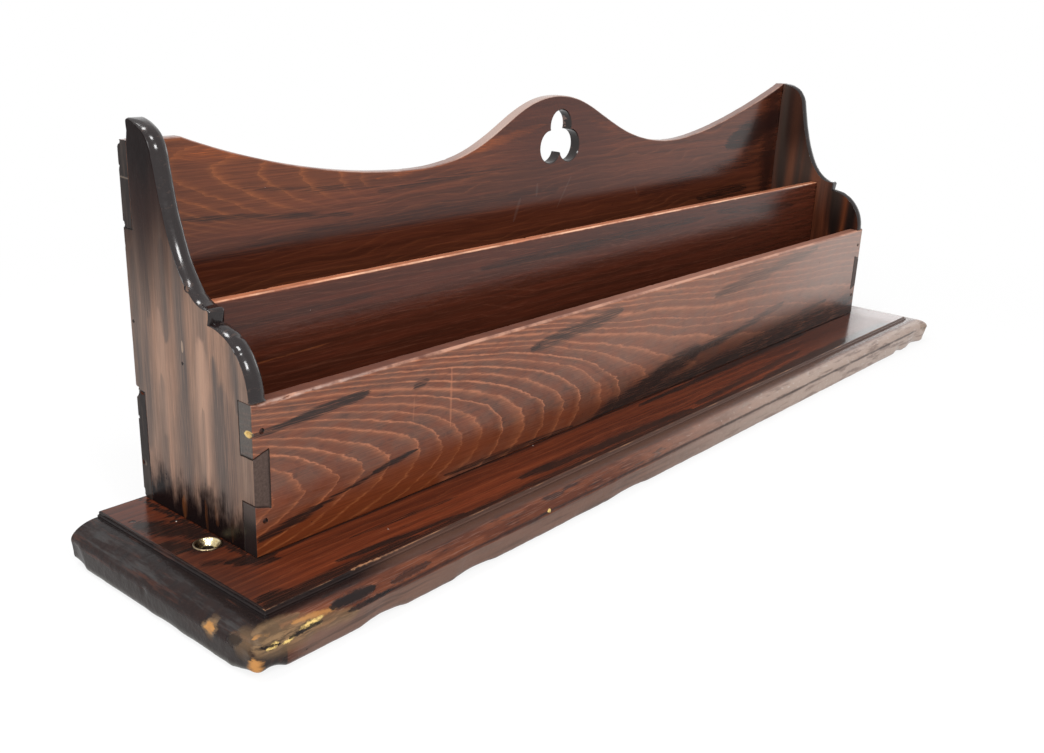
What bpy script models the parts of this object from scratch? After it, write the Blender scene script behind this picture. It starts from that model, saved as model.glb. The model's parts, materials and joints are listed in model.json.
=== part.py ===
"""A dovetailed letter rack on a moulded base board, as separate solids in metres, +Z up.

The origin is at the middle of the rack's footprint, on the surface that it stands on.
+X runs along the rack to the right as seen from the front, and +Y to its back.
"""
import math

import bmesh
import bpy
from mathutils import Matrix, Vector

# The box, over its outside faces
BOX_LENGTH = 0.620
BOX_DEPTH = 0.0916
FRONT_HEIGHT = 0.0722
SIDE_HEIGHT = 0.1850
DIVIDER_HEIGHT = 0.1070

# The boards
SIDE_THICK = 0.0084
FRONT_THICK = 0.0089
BACK_THICK = 0.0075
DIVIDER_THICK = 0.0065
BASE_THICK = 0.0222

# Where the divider stands, and the housings that hold its ends
DIVIDER_SETBACK = 0.0423
HOUSING_DEPTH = 0.0030

# The flat field of the base that shows round the box
LEFT_FIELD = 0.0242
RIGHT_FIELD = 0.0228
FRONT_FIELD = 0.0380

# The moulding that is worked on three edges of the base
LEFT_MOULDING = 0.0158
RIGHT_MOULDING = 0.0262
FRONT_MOULDING = 0.0130
FIELD_STEP = 0.0014
FILLET_WIDTH = 0.0012
FILLET_STEP = 0.0012
NOSE_DROP = 0.0112
BASE_CORNER_RADIUS = 0.0040
BASE_FOOT_RADIUS = 0.0028

# The scrolled side, as shares of the inside depth and of the rise above the front board
FOOT_SHARES = (0.327, 0.270)
NOTCH_RISE_SHARE = 0.053
SWEEP_END_SHARES = (0.748, 0.867)
SWEEP_HANDLE_SHARES = (0.190, 0.368)
HEAD_HANDLE_SHARES = (0.155, 0.085)
HEAD_LEAN = 0.19

# The shaped top of the back board: drops below the top of the sides
LEFT_END_DROP = 0.0102
LEFT_DIP_DROP = 0.0373
RIGHT_DIP_DROP = 0.0368
CREST_DROP = 0.0004

# Where it turns, and how far each bend reaches, as shares of the box's length
LEFT_FLAT_SHARE = 0.046
LEFT_DIP_SHARE = 0.2875
CREST_SHARE = 0.4955
RIGHT_DIP_SHARE = 0.7190
RIGHT_FLAT_SHARE = 0.012
LEFT_BEND_SHARES = (0.038, 0.106, 0.114, 0.079)
RIGHT_BEND_SHARES = (0.032, 0.085, 0.118, 0.072)
END_SLOPE = 0.38

# The pierced trefoil
LOBE_RADIUS = 0.0104
LOBE_SPACING = 0.0193
LOBE_RISE = 0.0131
TREFOIL_DROP = 0.0089
TREFOIL_SHARE = 0.5010

# The dovetails: where the side's pin begins and ends up the joint, as shares of its height
DOVETAIL_SLOPE = 0.33
FRONT_PIN_SHARES = (0.324, 0.672)
BACK_PIN_SHARES = (0.315, 0.780)

# Brass screw cups let into the base at both ends
CUP_RADIUS = 0.0068
CUP_RIM_PROUD = 0.0003
CUP_WALL = 0.0008
CUP_BODY_DEPTH = 0.0018
CUP_DEPTH = 0.0050
CUP_HOLE_RADIUS = 0.0024
CUP_SIDE_GAP = 0.0005
CUP_SETBACK_SHARE = 0.298

# Panel pins through the dovetails
NAIL_RADIUS = 0.0007
NAIL_HEAD_RADIUS = 0.0011
NAIL_HEAD_LENGTH = 0.0008
NAIL_LENGTH = 0.0220
NAIL_POINT = 0.0015
NAIL_SUNK = 0.0004
NAIL_INSET_SHARE = 0.62
FRONT_NAIL_SHARES = (0.226, 0.822)
BACK_NAIL_SHARES = (0.106, 0.880)

# Slotted wood screws up through the base
SCREW_RADIUS = 0.0014
SCREW_HEAD_RADIUS = 0.0030
SCREW_HEAD_LENGTH = 0.0019
SCREW_RIM = 0.0002
SCREW_GRIP = 0.0120
SCREW_POINT = 0.0030
SCREW_SUNK = 0.0006
SLOT_WIDTH = 0.0007
SLOT_DEPTH = 0.0008
LONG_SCREW_SHARES = (0.22, 0.78)
SIDE_SCREW_SHARE = 0.27

# Worn edges and fits
SCROLL_ROUNDING = 0.0013
BOARD_ROUNDING = 0.0007
FIT = 0.0003
OVERRUN = 0.0100
WELD = 0.00001

# How finely round shapes are cut
CURVE_STEPS = 12
ROUNDING_STEPS = 2
CORNER_STEPS = 4
OVOLO_STEPS = 8
LOBE_STEPS = 14
CUP_STEPS = 28
SCREW_STEPS = 16
NAIL_STEPS = 10
SHARP_ANGLE = math.radians(32)
FLAT_ANGLE = math.radians(0.5)

# Places worked out from the sizes
base_length = LEFT_MOULDING + LEFT_FIELD + BOX_LENGTH + RIGHT_FIELD + RIGHT_MOULDING
base_depth = FRONT_MOULDING + FRONT_FIELD + BOX_DEPTH
base_left = -base_length / 2
base_right = base_length / 2
base_front = -base_depth / 2
base_rear = base_depth / 2
box_left = base_left + LEFT_MOULDING + LEFT_FIELD
box_right = box_left + BOX_LENGTH
box_front = base_front + FRONT_MOULDING + FRONT_FIELD
box_rear = box_front + BOX_DEPTH
box_floor = BASE_THICK + FIT
box_top = box_floor + SIDE_HEIGHT
front_top = box_floor + FRONT_HEIGHT
back_face = box_rear - BACK_THICK
divider_front = box_front + DIVIDER_SETBACK
divider_rear = divider_front + DIVIDER_THICK
back_end_height = SIDE_HEIGHT - LEFT_END_DROP
ends = {"left": (box_left, 1), "right": (box_right, -1)}


# Helpers for the scene
def empty_scene():
    for thing in list(bpy.data.objects):
        bpy.data.objects.remove(thing, do_unlink=True)


def new_collection(name):
    collection = bpy.data.collections.new(name)
    bpy.context.scene.collection.children.link(collection)
    return collection


def plain_material(name, colour, roughness, metallic=0.0):
    material = bpy.data.materials.new(name)
    material.use_nodes = True
    shader = material.node_tree.nodes["Principled BSDF"]
    shader.inputs["Base Color"].default_value = (*colour, 1.0)
    shader.inputs["Roughness"].default_value = roughness
    shader.inputs["Metallic"].default_value = metallic
    return material


empty_scene()
rack = new_collection("letter_rack")
cutters = new_collection("cutters")
origin = bpy.data.objects.new("rack_origin", None)
rack.objects.link(origin)


def move_to(collection, thing):
    for other in list(thing.users_collection):
        other.objects.unlink(thing)
    collection.objects.link(thing)


def as_part(thing, name, material):
    """Put an object among the rack's own pieces, under its name and with its finish."""
    thing.name = name
    move_to(rack, thing)
    thing.parent = origin
    thing.data.materials.clear()
    thing.data.materials.append(material)
    thing.data.shade_smooth()
    thing.data.set_sharp_from_angle(angle=SHARP_ANGLE)
    return thing


def as_cutter(thing, name):
    """Keep an object as a tool that only removes wood."""
    thing.name = name
    move_to(cutters, thing)
    thing.display_type = "WIRE"
    thing.hide_render = True
    return thing


def cut(target, cutter):
    boolean = target.modifiers.new("cut " + cutter.name, "BOOLEAN")
    boolean.operation = "DIFFERENCE"
    boolean.solver = "EXACT"
    boolean.object = cutter


def round_edges(board, width, stay_square):
    """Round a board's sharp edges, apart from those whose two ends stay_square picks out."""
    shape = bmesh.new()
    shape.from_mesh(board.data)
    weight = shape.edges.layers.float.new("bevel_weight_edge")
    for edge in shape.edges:
        first, second = (board.matrix_world @ vert.co for vert in edge.verts)
        sharp = edge.calc_face_angle(0) > SHARP_ANGLE
        edge[weight] = float(sharp and not stay_square(first, second))
    shape.to_mesh(board.data)
    shape.free()
    bevel = board.modifiers.new("worn edges", "BEVEL")
    bevel.width = width
    bevel.segments = ROUNDING_STEPS
    bevel.limit_method = "WEIGHT"


def both_at(first, second, axis, place):
    return abs(first[axis] - place) < WELD and abs(second[axis] - place) < WELD


# Helpers for outlines and turned shapes
def arc(centre, radii, start, end, steps):
    """Points along an elliptical arc, from one angle in degrees to another."""
    points = []
    for step in range(steps + 1):
        angle = math.radians(start + (end - start) * step / steps)
        points.append((centre[0] + radii[0] * math.cos(angle), centre[1] + radii[1] * math.sin(angle)))
    return points


def bend(start, start_handle, end_handle, end):
    """Points along a cubic curve, without its last one."""
    corners = (start, start_handle, end_handle, end)
    points = []
    for step in range(CURVE_STEPS):
        t = step / CURVE_STEPS
        weights = ((1 - t) ** 3, 3 * t * (1 - t) ** 2, 3 * t * t * (1 - t), t ** 3)
        points.append(tuple(sum(w * corner[i] for w, corner in zip(weights, corners)) for i in range(2)))
    return points


def extruded(outline, axis, low, high):
    """A board or prism: a flat outline, thickened along one axis from low to high.

    The outline's pairs are (y, z) for axis X, (x, z) for axis Y and (x, y) for axis Z.
    """
    curve = bpy.data.curves.new("outline", "CURVE")
    curve.dimensions = "2D"
    curve.fill_mode = "BOTH"
    curve.extrude = (high - low) / 2
    spline = curve.splines.new("POLY")
    spline.points.add(len(outline) - 1)
    spline.use_cyclic_u = True
    for point, (across, up) in zip(spline.points, outline):
        point.co = (across, up, 0, 1)
    flat = bpy.data.objects.new("outline", curve)
    bpy.context.scene.collection.objects.link(flat)
    quarter_turn = math.pi / 2
    turns = {"X": (quarter_turn, 0, quarter_turn), "Y": (quarter_turn, 0, 0), "Z": (0, 0, 0)}
    flat.rotation_euler = turns[axis]
    flat.location["XYZ".index(axis)] = (low + high) / 2
    return solid_from(flat)


def solid_from(flat):
    """A mesh object with a curve object's shape and place. The curve is removed."""
    bpy.context.view_layer.update()
    view = bpy.context.evaluated_depsgraph_get()
    mesh = bpy.data.meshes.new_from_object(flat.evaluated_get(view))
    shape = bmesh.new()
    shape.from_mesh(mesh)
    bmesh.ops.remove_doubles(shape, verts=shape.verts, dist=WELD)
    bmesh.ops.dissolve_limit(shape, angle_limit=FLAT_ANGLE, verts=shape.verts, edges=shape.edges)
    bmesh.ops.recalc_face_normals(shape, faces=shape.faces)
    shape.to_mesh(mesh)
    shape.free()
    solid = placed(mesh, flat.matrix_world)
    bpy.data.objects.remove(flat, do_unlink=True)
    return solid


def placed(mesh, place):
    """An object that shows a mesh at a place."""
    thing = bpy.data.objects.new(mesh.name, mesh)
    bpy.context.scene.collection.objects.link(thing)
    thing.matrix_world = place
    return thing


def turned(profile, steps, ring=False):
    """A mesh turned about Z from (radius, height) pairs that run down the outer side."""
    mesh = bpy.data.meshes.new("profile")
    shape = bmesh.new()
    corners = [shape.verts.new((radius, 0, height)) for radius, height in profile]
    for first, second in zip(corners, corners[1:]):
        shape.edges.new((first, second))
    if ring:
        shape.edges.new((corners[-1], corners[0]))
    shape.to_mesh(mesh)
    shape.free()
    lathe = placed(mesh, Matrix())
    screw = lathe.modifiers.new("turn", "SCREW")
    screw.steps = steps
    screw.render_steps = steps
    screw.use_merge_vertices = True
    screw.merge_threshold = WELD
    bpy.context.view_layer.update()
    view = bpy.context.evaluated_depsgraph_get()
    result = bpy.data.meshes.new_from_object(lathe.evaluated_get(view))
    bpy.data.objects.remove(lathe, do_unlink=True)
    return result


def copies(mesh, places):
    """One mesh object with a body of its own at each place, for cutting several holes."""
    shape = bmesh.new()
    for place in places:
        before = len(shape.verts)
        shape.from_mesh(mesh)
        shape.verts.ensure_lookup_table()
        bmesh.ops.transform(shape, matrix=place, verts=shape.verts[before:])
    joined = bpy.data.meshes.new("copies")
    shape.to_mesh(joined)
    shape.free()
    return placed(joined, Matrix())


def block(low, high):
    """A block between two corners."""
    mesh = bpy.data.meshes.new("block")
    shape = bmesh.new()
    bmesh.ops.create_cube(shape, size=1)
    size = Vector(high) - Vector(low)
    place = Matrix.Translation((Vector(low) + Vector(high)) / 2) @ Matrix.Diagonal((*size, 1))
    bmesh.ops.transform(shape, matrix=place, verts=shape.verts)
    shape.to_mesh(mesh)
    shape.free()
    return placed(mesh, Matrix())


# The finishes
stained_base = plain_material("stained_base", (0.120, 0.040, 0.022), 0.32)
stained_side = plain_material("stained_side", (0.085, 0.038, 0.026), 0.30)
stained_back = plain_material("stained_back", (0.150, 0.045, 0.022), 0.30)
stained_front = plain_material("stained_front", (0.190, 0.065, 0.034), 0.28)
stained_divider = plain_material("stained_divider", (0.110, 0.035, 0.020), 0.32)
brass = plain_material("brass", (0.720, 0.560, 0.260), 0.25, 1.0)
iron = plain_material("iron", (0.060, 0.050, 0.045), 0.55, 1.0)


# The joints: the front and the back carry the tails, and the sides carry the pins
def pin_edges(height, pin_shares):
    """Heights where a side's pin begins and ends, at its outer face and at its inner face."""
    flare = DOVETAIL_SLOPE * SIDE_THICK / 2
    low = box_floor + height * pin_shares[0]
    high = box_floor + height * pin_shares[1]
    return (low + flare, high - flare), (low - flare, high + flare)


def pin_space(outer, inward, height, pin_shares, low, high, name):
    """What a tail board loses for a side's pin: narrow outside and wide inside."""
    (low_out, high_out), (low_in, high_in) = pin_edges(height, pin_shares)
    past = DOVETAIL_SLOPE * OVERRUN
    outside = outer - inward * OVERRUN
    inside = outer + inward * (SIDE_THICK + FIT)
    outline = [(outside, low_out + past - FIT), (inside, low_in - FIT),
               (inside, high_in + FIT), (outside, high_out - past + FIT)]
    return as_cutter(extruded(outline, "Y", low, high), name)


def tail_socket(outer, inward, edge_out, edge_in, limit, low, high, name):
    """What a side loses for one tail: from the tail's sloping edge to a level limit."""
    slope = (edge_in - edge_out) / SIDE_THICK
    outside = outer - inward * OVERRUN
    inside = outer + inward * (SIDE_THICK + OVERRUN)
    edge_outside = edge_out - slope * OVERRUN
    edge_inside = edge_in + slope * OVERRUN
    outline = [(outside, limit), (inside, limit), (inside, edge_inside), (outside, edge_outside)]
    return as_cutter(extruded(outline, "Y", low, high), name)


# The sides
def side_outline():
    """The side seen from its end: a round foot, a notch, a long sweep and a round head."""
    reach = BOX_DEPTH - BACK_THICK
    rise = SIDE_HEIGHT - FRONT_HEIGHT
    foot = (reach * FOOT_SHARES[0], rise * FOOT_SHARES[1])
    notch = (box_front + foot[0], front_top + foot[1] + rise * NOTCH_RISE_SHARE)
    sweep_end = (box_front + reach * SWEEP_END_SHARES[0], front_top + rise * SWEEP_END_SHARES[1])
    head_rise = rise * HEAD_HANDLE_SHARES[1]
    sweep_rise = rise * SWEEP_HANDLE_SHARES[1]
    head_top = (back_face, box_top)
    outline = [(box_front, box_floor), (box_rear, box_floor), (box_rear, box_top)]
    outline += bend(head_top, (back_face - reach * HEAD_HANDLE_SHARES[0], box_top),
                    (sweep_end[0] + head_rise * HEAD_LEAN, sweep_end[1] + head_rise), sweep_end)
    outline += bend(sweep_end, (sweep_end[0] - sweep_rise * HEAD_LEAN, sweep_end[1] - sweep_rise),
                    (notch[0] + reach * SWEEP_HANDLE_SHARES[0], notch[1]), notch)
    outline.append(notch)
    outline += arc((notch[0], front_top), foot, 90, 180, CURVE_STEPS)
    return outline


def side_stays_square(first, second):
    """The foot, the joint at the front and the rear edge keep their corners."""
    return (both_at(first, second, 2, box_floor) or both_at(first, second, 1, box_front)
            or both_at(first, second, 1, box_rear))


def side_board(end):
    """One scrolled side, with sockets for the tails and a housing for the divider."""
    outer, inward = ends[end]
    inner = outer + inward * SIDE_THICK
    board = extruded(side_outline(), "X", min(outer, inner), max(outer, inner))
    round_edges(board, SCROLL_ROUNDING, side_stays_square)
    below = box_floor - OVERRUN
    front_out, front_in = pin_edges(FRONT_HEIGHT, FRONT_PIN_SHARES)
    back_out, back_in = pin_edges(back_end_height, BACK_PIN_SHARES)
    front_joint = (box_front - OVERRUN, box_front + FRONT_THICK + FIT)
    back_joint = (back_face - FIT, box_rear + OVERRUN)
    sockets = (("lower_front", front_out[0], front_in[0], below, front_joint),
               ("upper_front", front_out[1], front_in[1], front_top + FIT, front_joint),
               ("lower_back", back_out[0], back_in[0], below, back_joint),
               ("upper_back", back_out[1], back_in[1], box_top + OVERRUN, back_joint))
    for place, edge_out, edge_in, limit, (low, high) in sockets:
        name = end + "_" + place + "_socket"
        cut(board, tail_socket(outer, inward, edge_out, edge_in, limit, low, high, name))
    groove = inner - inward * HOUSING_DEPTH
    open_side = inner + inward * OVERRUN
    housing = block((min(groove, open_side), divider_front - FIT, below),
                    (max(groove, open_side), divider_rear + FIT, box_floor + DIVIDER_HEIGHT + FIT))
    cut(board, as_cutter(housing, end + "_housing"))
    return as_part(board, end + "_side", stained_side)


left_side = side_board("left")
right_side = side_board("right")


# The front board, with its tails
def long_board_stays_square(first, second):
    """The foot and the jointed ends keep their corners."""
    return (both_at(first, second, 2, box_floor) or both_at(first, second, 0, box_left)
            or both_at(first, second, 0, box_right))


front_outline = [(box_left, box_floor), (box_right, box_floor), (box_right, front_top),
                 (box_left, front_top)]
front_board = extruded(front_outline, "Y", box_front, box_front + FRONT_THICK)
round_edges(front_board, BOARD_ROUNDING, long_board_stays_square)
for end, (outer, inward) in ends.items():
    cut(front_board, pin_space(outer, inward, FRONT_HEIGHT, FRONT_PIN_SHARES, box_front - OVERRUN,
                               box_front + FRONT_THICK + OVERRUN, end + "_front_pin_space"))
as_part(front_board, "front_board", stained_front)


# The back board: shaped top, tails and the pierced trefoil
def back_outline():
    """The back seen from the front. Its top dips on both sides of the crest."""
    left_end = (box_left, box_floor + back_end_height)
    left_flat = (box_left + BOX_LENGTH * LEFT_FLAT_SHARE, left_end[1])
    left_dip = (box_left + BOX_LENGTH * LEFT_DIP_SHARE, box_top - LEFT_DIP_DROP)
    crest = (box_left + BOX_LENGTH * CREST_SHARE, box_top - CREST_DROP)
    right_dip = (box_left + BOX_LENGTH * RIGHT_DIP_SHARE, box_top - RIGHT_DIP_DROP)
    right_flat = (box_right - BOX_LENGTH * RIGHT_FLAT_SHARE, box_top)
    at_left_end, left_outer, left_inner, crest_left = (BOX_LENGTH * s for s in LEFT_BEND_SHARES)
    at_right_end, right_outer, right_inner, crest_right = (BOX_LENGTH * s for s in RIGHT_BEND_SHARES)
    outline = [left_end, (box_left, box_floor), (box_right, box_floor), (box_right, box_top)]
    outline += bend(right_flat, (right_flat[0] - at_right_end, box_top - at_right_end * END_SLOPE),
                    (right_dip[0] + right_outer, right_dip[1]), right_dip)
    outline += bend(right_dip, (right_dip[0] - right_inner, right_dip[1]),
                    (crest[0] + crest_right, crest[1]), crest)
    outline += bend(crest, (crest[0] - crest_left, crest[1]),
                    (left_dip[0] + left_inner, left_dip[1]), left_dip)
    outline += bend(left_dip, (left_dip[0] - left_outer, left_dip[1]),
                    (left_flat[0] + at_left_end, left_flat[1] - at_left_end * END_SLOPE), left_flat)
    outline.append(left_flat)
    return outline


def crossing(first, second, middle):
    """Where two lobes' circles cross, on the side away from the trefoil's middle."""
    a, b = Vector(first), Vector(second)
    half = (b - a) / 2
    outward = Vector((-half.y, half.x)).normalized()
    if outward.dot(a + half - Vector(middle)) < 0:
        outward = -outward
    return a + half + outward * math.sqrt(LOBE_RADIUS ** 2 - half.length_squared)


def trefoil_outline():
    """Three lobes, each an arc from one cusp to the next."""
    middle_x = box_left + BOX_LENGTH * TREFOIL_SHARE
    top_lobe = box_top - CREST_DROP - TREFOIL_DROP - LOBE_RADIUS
    low_lobes = top_lobe - LOBE_RISE
    lobes = [(middle_x, top_lobe), (middle_x - LOBE_SPACING / 2, low_lobes),
             (middle_x + LOBE_SPACING / 2, low_lobes)]
    middle = (middle_x, low_lobes + LOBE_RISE / 3)
    outline = []
    for i, lobe in enumerate(lobes):
        start = crossing(lobes[i - 1], lobe, middle)
        end = crossing(lobe, lobes[(i + 1) % 3], middle)
        first = math.degrees(math.atan2(start.y - lobe[1], start.x - lobe[0]))
        last = math.degrees(math.atan2(end.y - lobe[1], end.x - lobe[0]))
        if last < first:
            last += 360
        outline += arc(lobe, (LOBE_RADIUS, LOBE_RADIUS), first, last, LOBE_STEPS)[:-1]
    return outline


back_board = extruded(back_outline(), "Y", back_face, box_rear)
round_edges(back_board, BOARD_ROUNDING, long_board_stays_square)
for end, (outer, inward) in ends.items():
    cut(back_board, pin_space(outer, inward, back_end_height, BACK_PIN_SHARES,
                              back_face - OVERRUN, box_rear + OVERRUN, end + "_back_pin_space"))
piercing = extruded(trefoil_outline(), "Y", back_face - OVERRUN, box_rear + OVERRUN)
cut(back_board, as_cutter(piercing, "trefoil_piercing"))
as_part(back_board, "back_board", stained_back)


# The divider, with its ends in the housings
tongue = HOUSING_DEPTH - FIT
divider_left = box_left + SIDE_THICK - tongue
divider_right = box_right - SIDE_THICK + tongue


def divider_stays_square(first, second):
    return (both_at(first, second, 2, box_floor) or both_at(first, second, 0, divider_left)
            or both_at(first, second, 0, divider_right))


divider = block((divider_left, divider_front, box_floor),
                (divider_right, divider_rear, box_floor + DIVIDER_HEIGHT))
round_edges(divider, BOARD_ROUNDING, divider_stays_square)
as_part(divider, "divider", stained_divider)


# The base board
def base_outline():
    """The base seen from above, with its two front corners rounded."""
    radius = BASE_CORNER_RADIUS
    corner = (radius, radius)
    outline = [(base_right, base_rear), (base_left, base_rear)]
    outline += arc((base_left + radius, base_front + radius), corner, 180, 270, CORNER_STEPS)
    outline += arc((base_right - radius, base_front + radius), corner, 270, 360, CORNER_STEPS)
    return outline


def moulding_waste(width):
    """What the moulding plane takes off, as (distance in from the edge, height) pairs."""
    step_foot = BASE_THICK - FIELD_STEP
    ovolo_top = step_foot - FILLET_STEP
    nose = BASE_THICK - NOSE_DROP
    ovolo = (width - FILLET_WIDTH, ovolo_top - nose)
    above = BASE_THICK + OVERRUN
    outline = arc((ovolo[0], nose), ovolo, 180, 90, OVOLO_STEPS)
    outline += [(ovolo[0], step_foot), (width, step_foot), (width, above), (-OVERRUN, above),
                (-OVERRUN, nose)]
    return outline


def not_at_foot(first, second):
    return not both_at(first, second, 2, 0)


base_board = extruded(base_outline(), "Z", 0, BASE_THICK)
round_edges(base_board, BASE_FOOT_RADIUS, not_at_foot)
left_waste = [(base_left + inset, height) for inset, height in moulding_waste(LEFT_MOULDING)]
right_waste = [(base_right - inset, height) for inset, height in moulding_waste(RIGHT_MOULDING)]
front_waste = [(base_front + inset, height) for inset, height in moulding_waste(FRONT_MOULDING)]
along_ends = (base_front - OVERRUN, base_rear + OVERRUN)
along_front = (base_left - OVERRUN, base_right + OVERRUN)
for outline, axis, (low, high), name in (
        (left_waste, "Y", along_ends, "left_moulding_waste"),
        (right_waste, "Y", along_ends, "right_moulding_waste"),
        (front_waste, "X", along_front, "front_moulding_waste")):
    cut(base_board, as_cutter(extruded(outline, axis, low, high), name))
as_part(base_board, "base_board", stained_base)


# The brass screw cups
cup_reach = CUP_RADIUS + CUP_SIDE_GAP
cup_foot_radius = CUP_HOLE_RADIUS + CUP_WALL
cup_mesh = turned([
    (CUP_RADIUS - CUP_WALL / 2, CUP_RIM_PROUD),
    (CUP_RADIUS, CUP_RIM_PROUD / 2),
    (CUP_RADIUS, -CUP_BODY_DEPTH),
    (cup_foot_radius, -CUP_DEPTH),
    (CUP_HOLE_RADIUS, -CUP_DEPTH),
    (CUP_HOLE_RADIUS, -CUP_DEPTH + CUP_WALL),
    (CUP_RADIUS - CUP_WALL, 0),
], CUP_STEPS, ring=True)
recess_mesh = turned([
    (0, OVERRUN),
    (CUP_RADIUS + FIT, OVERRUN),
    (CUP_RADIUS + FIT, -CUP_BODY_DEPTH - FIT),
    (cup_foot_radius + FIT, -CUP_DEPTH - FIT),
    (CUP_HOLE_RADIUS, -CUP_DEPTH - FIT),
    (CUP_HOLE_RADIUS, -BASE_THICK - OVERRUN),
    (0, -BASE_THICK - OVERRUN),
], CUP_STEPS)
for end, (outer, inward) in ends.items():
    cup_y = box_front + BOX_DEPTH * CUP_SETBACK_SHARE
    place = Matrix.Translation((outer - inward * cup_reach, cup_y, BASE_THICK))
    cut(base_board, as_cutter(placed(recess_mesh, place), end + "_cup_recess"))
    as_part(placed(cup_mesh, place), end + "_screw_cup", brass)


# Panel pins, two through the tails at each corner
def nail_profile(clearance, lead):
    """A pin down -Z from its head, grown by a clearance, with a lead above the head."""
    neck = -NAIL_HEAD_LENGTH - clearance
    shoulder = -NAIL_LENGTH + NAIL_POINT - clearance
    return [(0, lead), (NAIL_HEAD_RADIUS + clearance, lead), (NAIL_HEAD_RADIUS + clearance, neck),
            (NAIL_RADIUS + clearance, neck), (NAIL_RADIUS + clearance, shoulder),
            (0, -NAIL_LENGTH - clearance)]


nail_mesh = turned(nail_profile(0, 0), NAIL_STEPS)
nail_hole_mesh = turned(nail_profile(FIT, OVERRUN), NAIL_STEPS)


def corner_nails(row, face, facing, height, nail_shares, tail_board):
    """The pins that hold one long board's tails. Facing is 1 for a head towards +Y, or -1."""
    turn = Matrix.Rotation(-facing * math.pi / 2, 4, "X")
    holes = []
    for end, (outer, inward) in ends.items():
        for level, share in zip(("lower", "upper"), nail_shares):
            head = (outer + inward * SIDE_THICK * NAIL_INSET_SHARE, face - facing * NAIL_SUNK,
                    box_floor + height * share)
            place = Matrix.Translation(head) @ turn
            as_part(placed(nail_mesh, place), "_".join((row, end, level, "pin")), iron)
            holes.append(place)
    hole_cutter = as_cutter(copies(nail_hole_mesh, holes), row + "_pin_holes")
    for board in (tail_board, left_side, right_side):
        cut(board, hole_cutter)


corner_nails("front", box_front, -1, FRONT_HEIGHT, FRONT_NAIL_SHARES, front_board)
corner_nails("back", box_rear, 1, back_end_height, BACK_NAIL_SHARES, back_board)


# Slotted screws that hold the box down on its base
def screw_profile(clearance, lead):
    """A countersunk screw down -Z from its head, grown by a clearance, with a lead above it."""
    length = BASE_THICK - SCREW_SUNK + FIT + SCREW_GRIP
    rim = -SCREW_RIM - clearance
    neck = -SCREW_HEAD_LENGTH - clearance
    shoulder = -length + SCREW_POINT - clearance
    return [(0, lead), (SCREW_HEAD_RADIUS + clearance, lead), (SCREW_HEAD_RADIUS + clearance, rim),
            (SCREW_RADIUS + clearance, neck), (SCREW_RADIUS + clearance, shoulder),
            (0, -length - clearance)]


def base_screw_places():
    """Where each screw's head lies in the base's underside, by the screw's name."""
    upside_down = Matrix.Rotation(math.pi, 4, "X")
    lines = {"front": box_front + FRONT_THICK / 2, "back": back_face + BACK_THICK / 2}
    spots = {}
    for row, y in lines.items():
        for end, share in zip(ends, LONG_SCREW_SHARES):
            spots[row + "_" + end] = (box_left + BOX_LENGTH * share, y)
    for end, (outer, inward) in ends.items():
        spots[end + "_side"] = (outer + inward * SIDE_THICK / 2, box_front + BOX_DEPTH * SIDE_SCREW_SHARE)
    return {name: Matrix.Translation((x, y, SCREW_SUNK)) @ upside_down for name, (x, y) in spots.items()}


screw_places = base_screw_places()
screw_mesh = turned(screw_profile(0, 0), SCREW_STEPS)
screw_hole_mesh = turned(screw_profile(FIT, OVERRUN), SCREW_STEPS)
screw_holes = as_cutter(copies(screw_hole_mesh, screw_places.values()), "base_screw_holes")
for board in (base_board, front_board, back_board, left_side, right_side):
    cut(board, screw_holes)
slot = block((-SCREW_HEAD_RADIUS - OVERRUN, -SLOT_WIDTH / 2, -SLOT_DEPTH),
             (SCREW_HEAD_RADIUS + OVERRUN, SLOT_WIDTH / 2, OVERRUN))
slots = as_cutter(copies(slot.data, screw_places.values()), "screw_slots")
bpy.data.objects.remove(slot, do_unlink=True)
for name, place in screw_places.items():
    screw = placed(screw_mesh.copy(), place)
    cut(screw, slots)
    as_part(screw, name + "_base_screw", iron)
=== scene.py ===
# %% [markdown]
# # A dovetailed letter rack
#
# A long, low desk rack in stained and varnished pine. Two scrolled sides, a shaped back with a
# pierced trefoil and a lower front make a box that is dovetailed at its corners. A divider stands
# in housings in the sides, and the whole box is screwed to a wide base board with a moulded edge.
#
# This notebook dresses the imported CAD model. The model gives the frame: every piece below goes
# where the model says, in metres, and stands for one of its nodes.

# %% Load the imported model
import json
import math
from functools import reduce

import bmesh
import bpy
from mathutils import Matrix, Vector, noise

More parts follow.
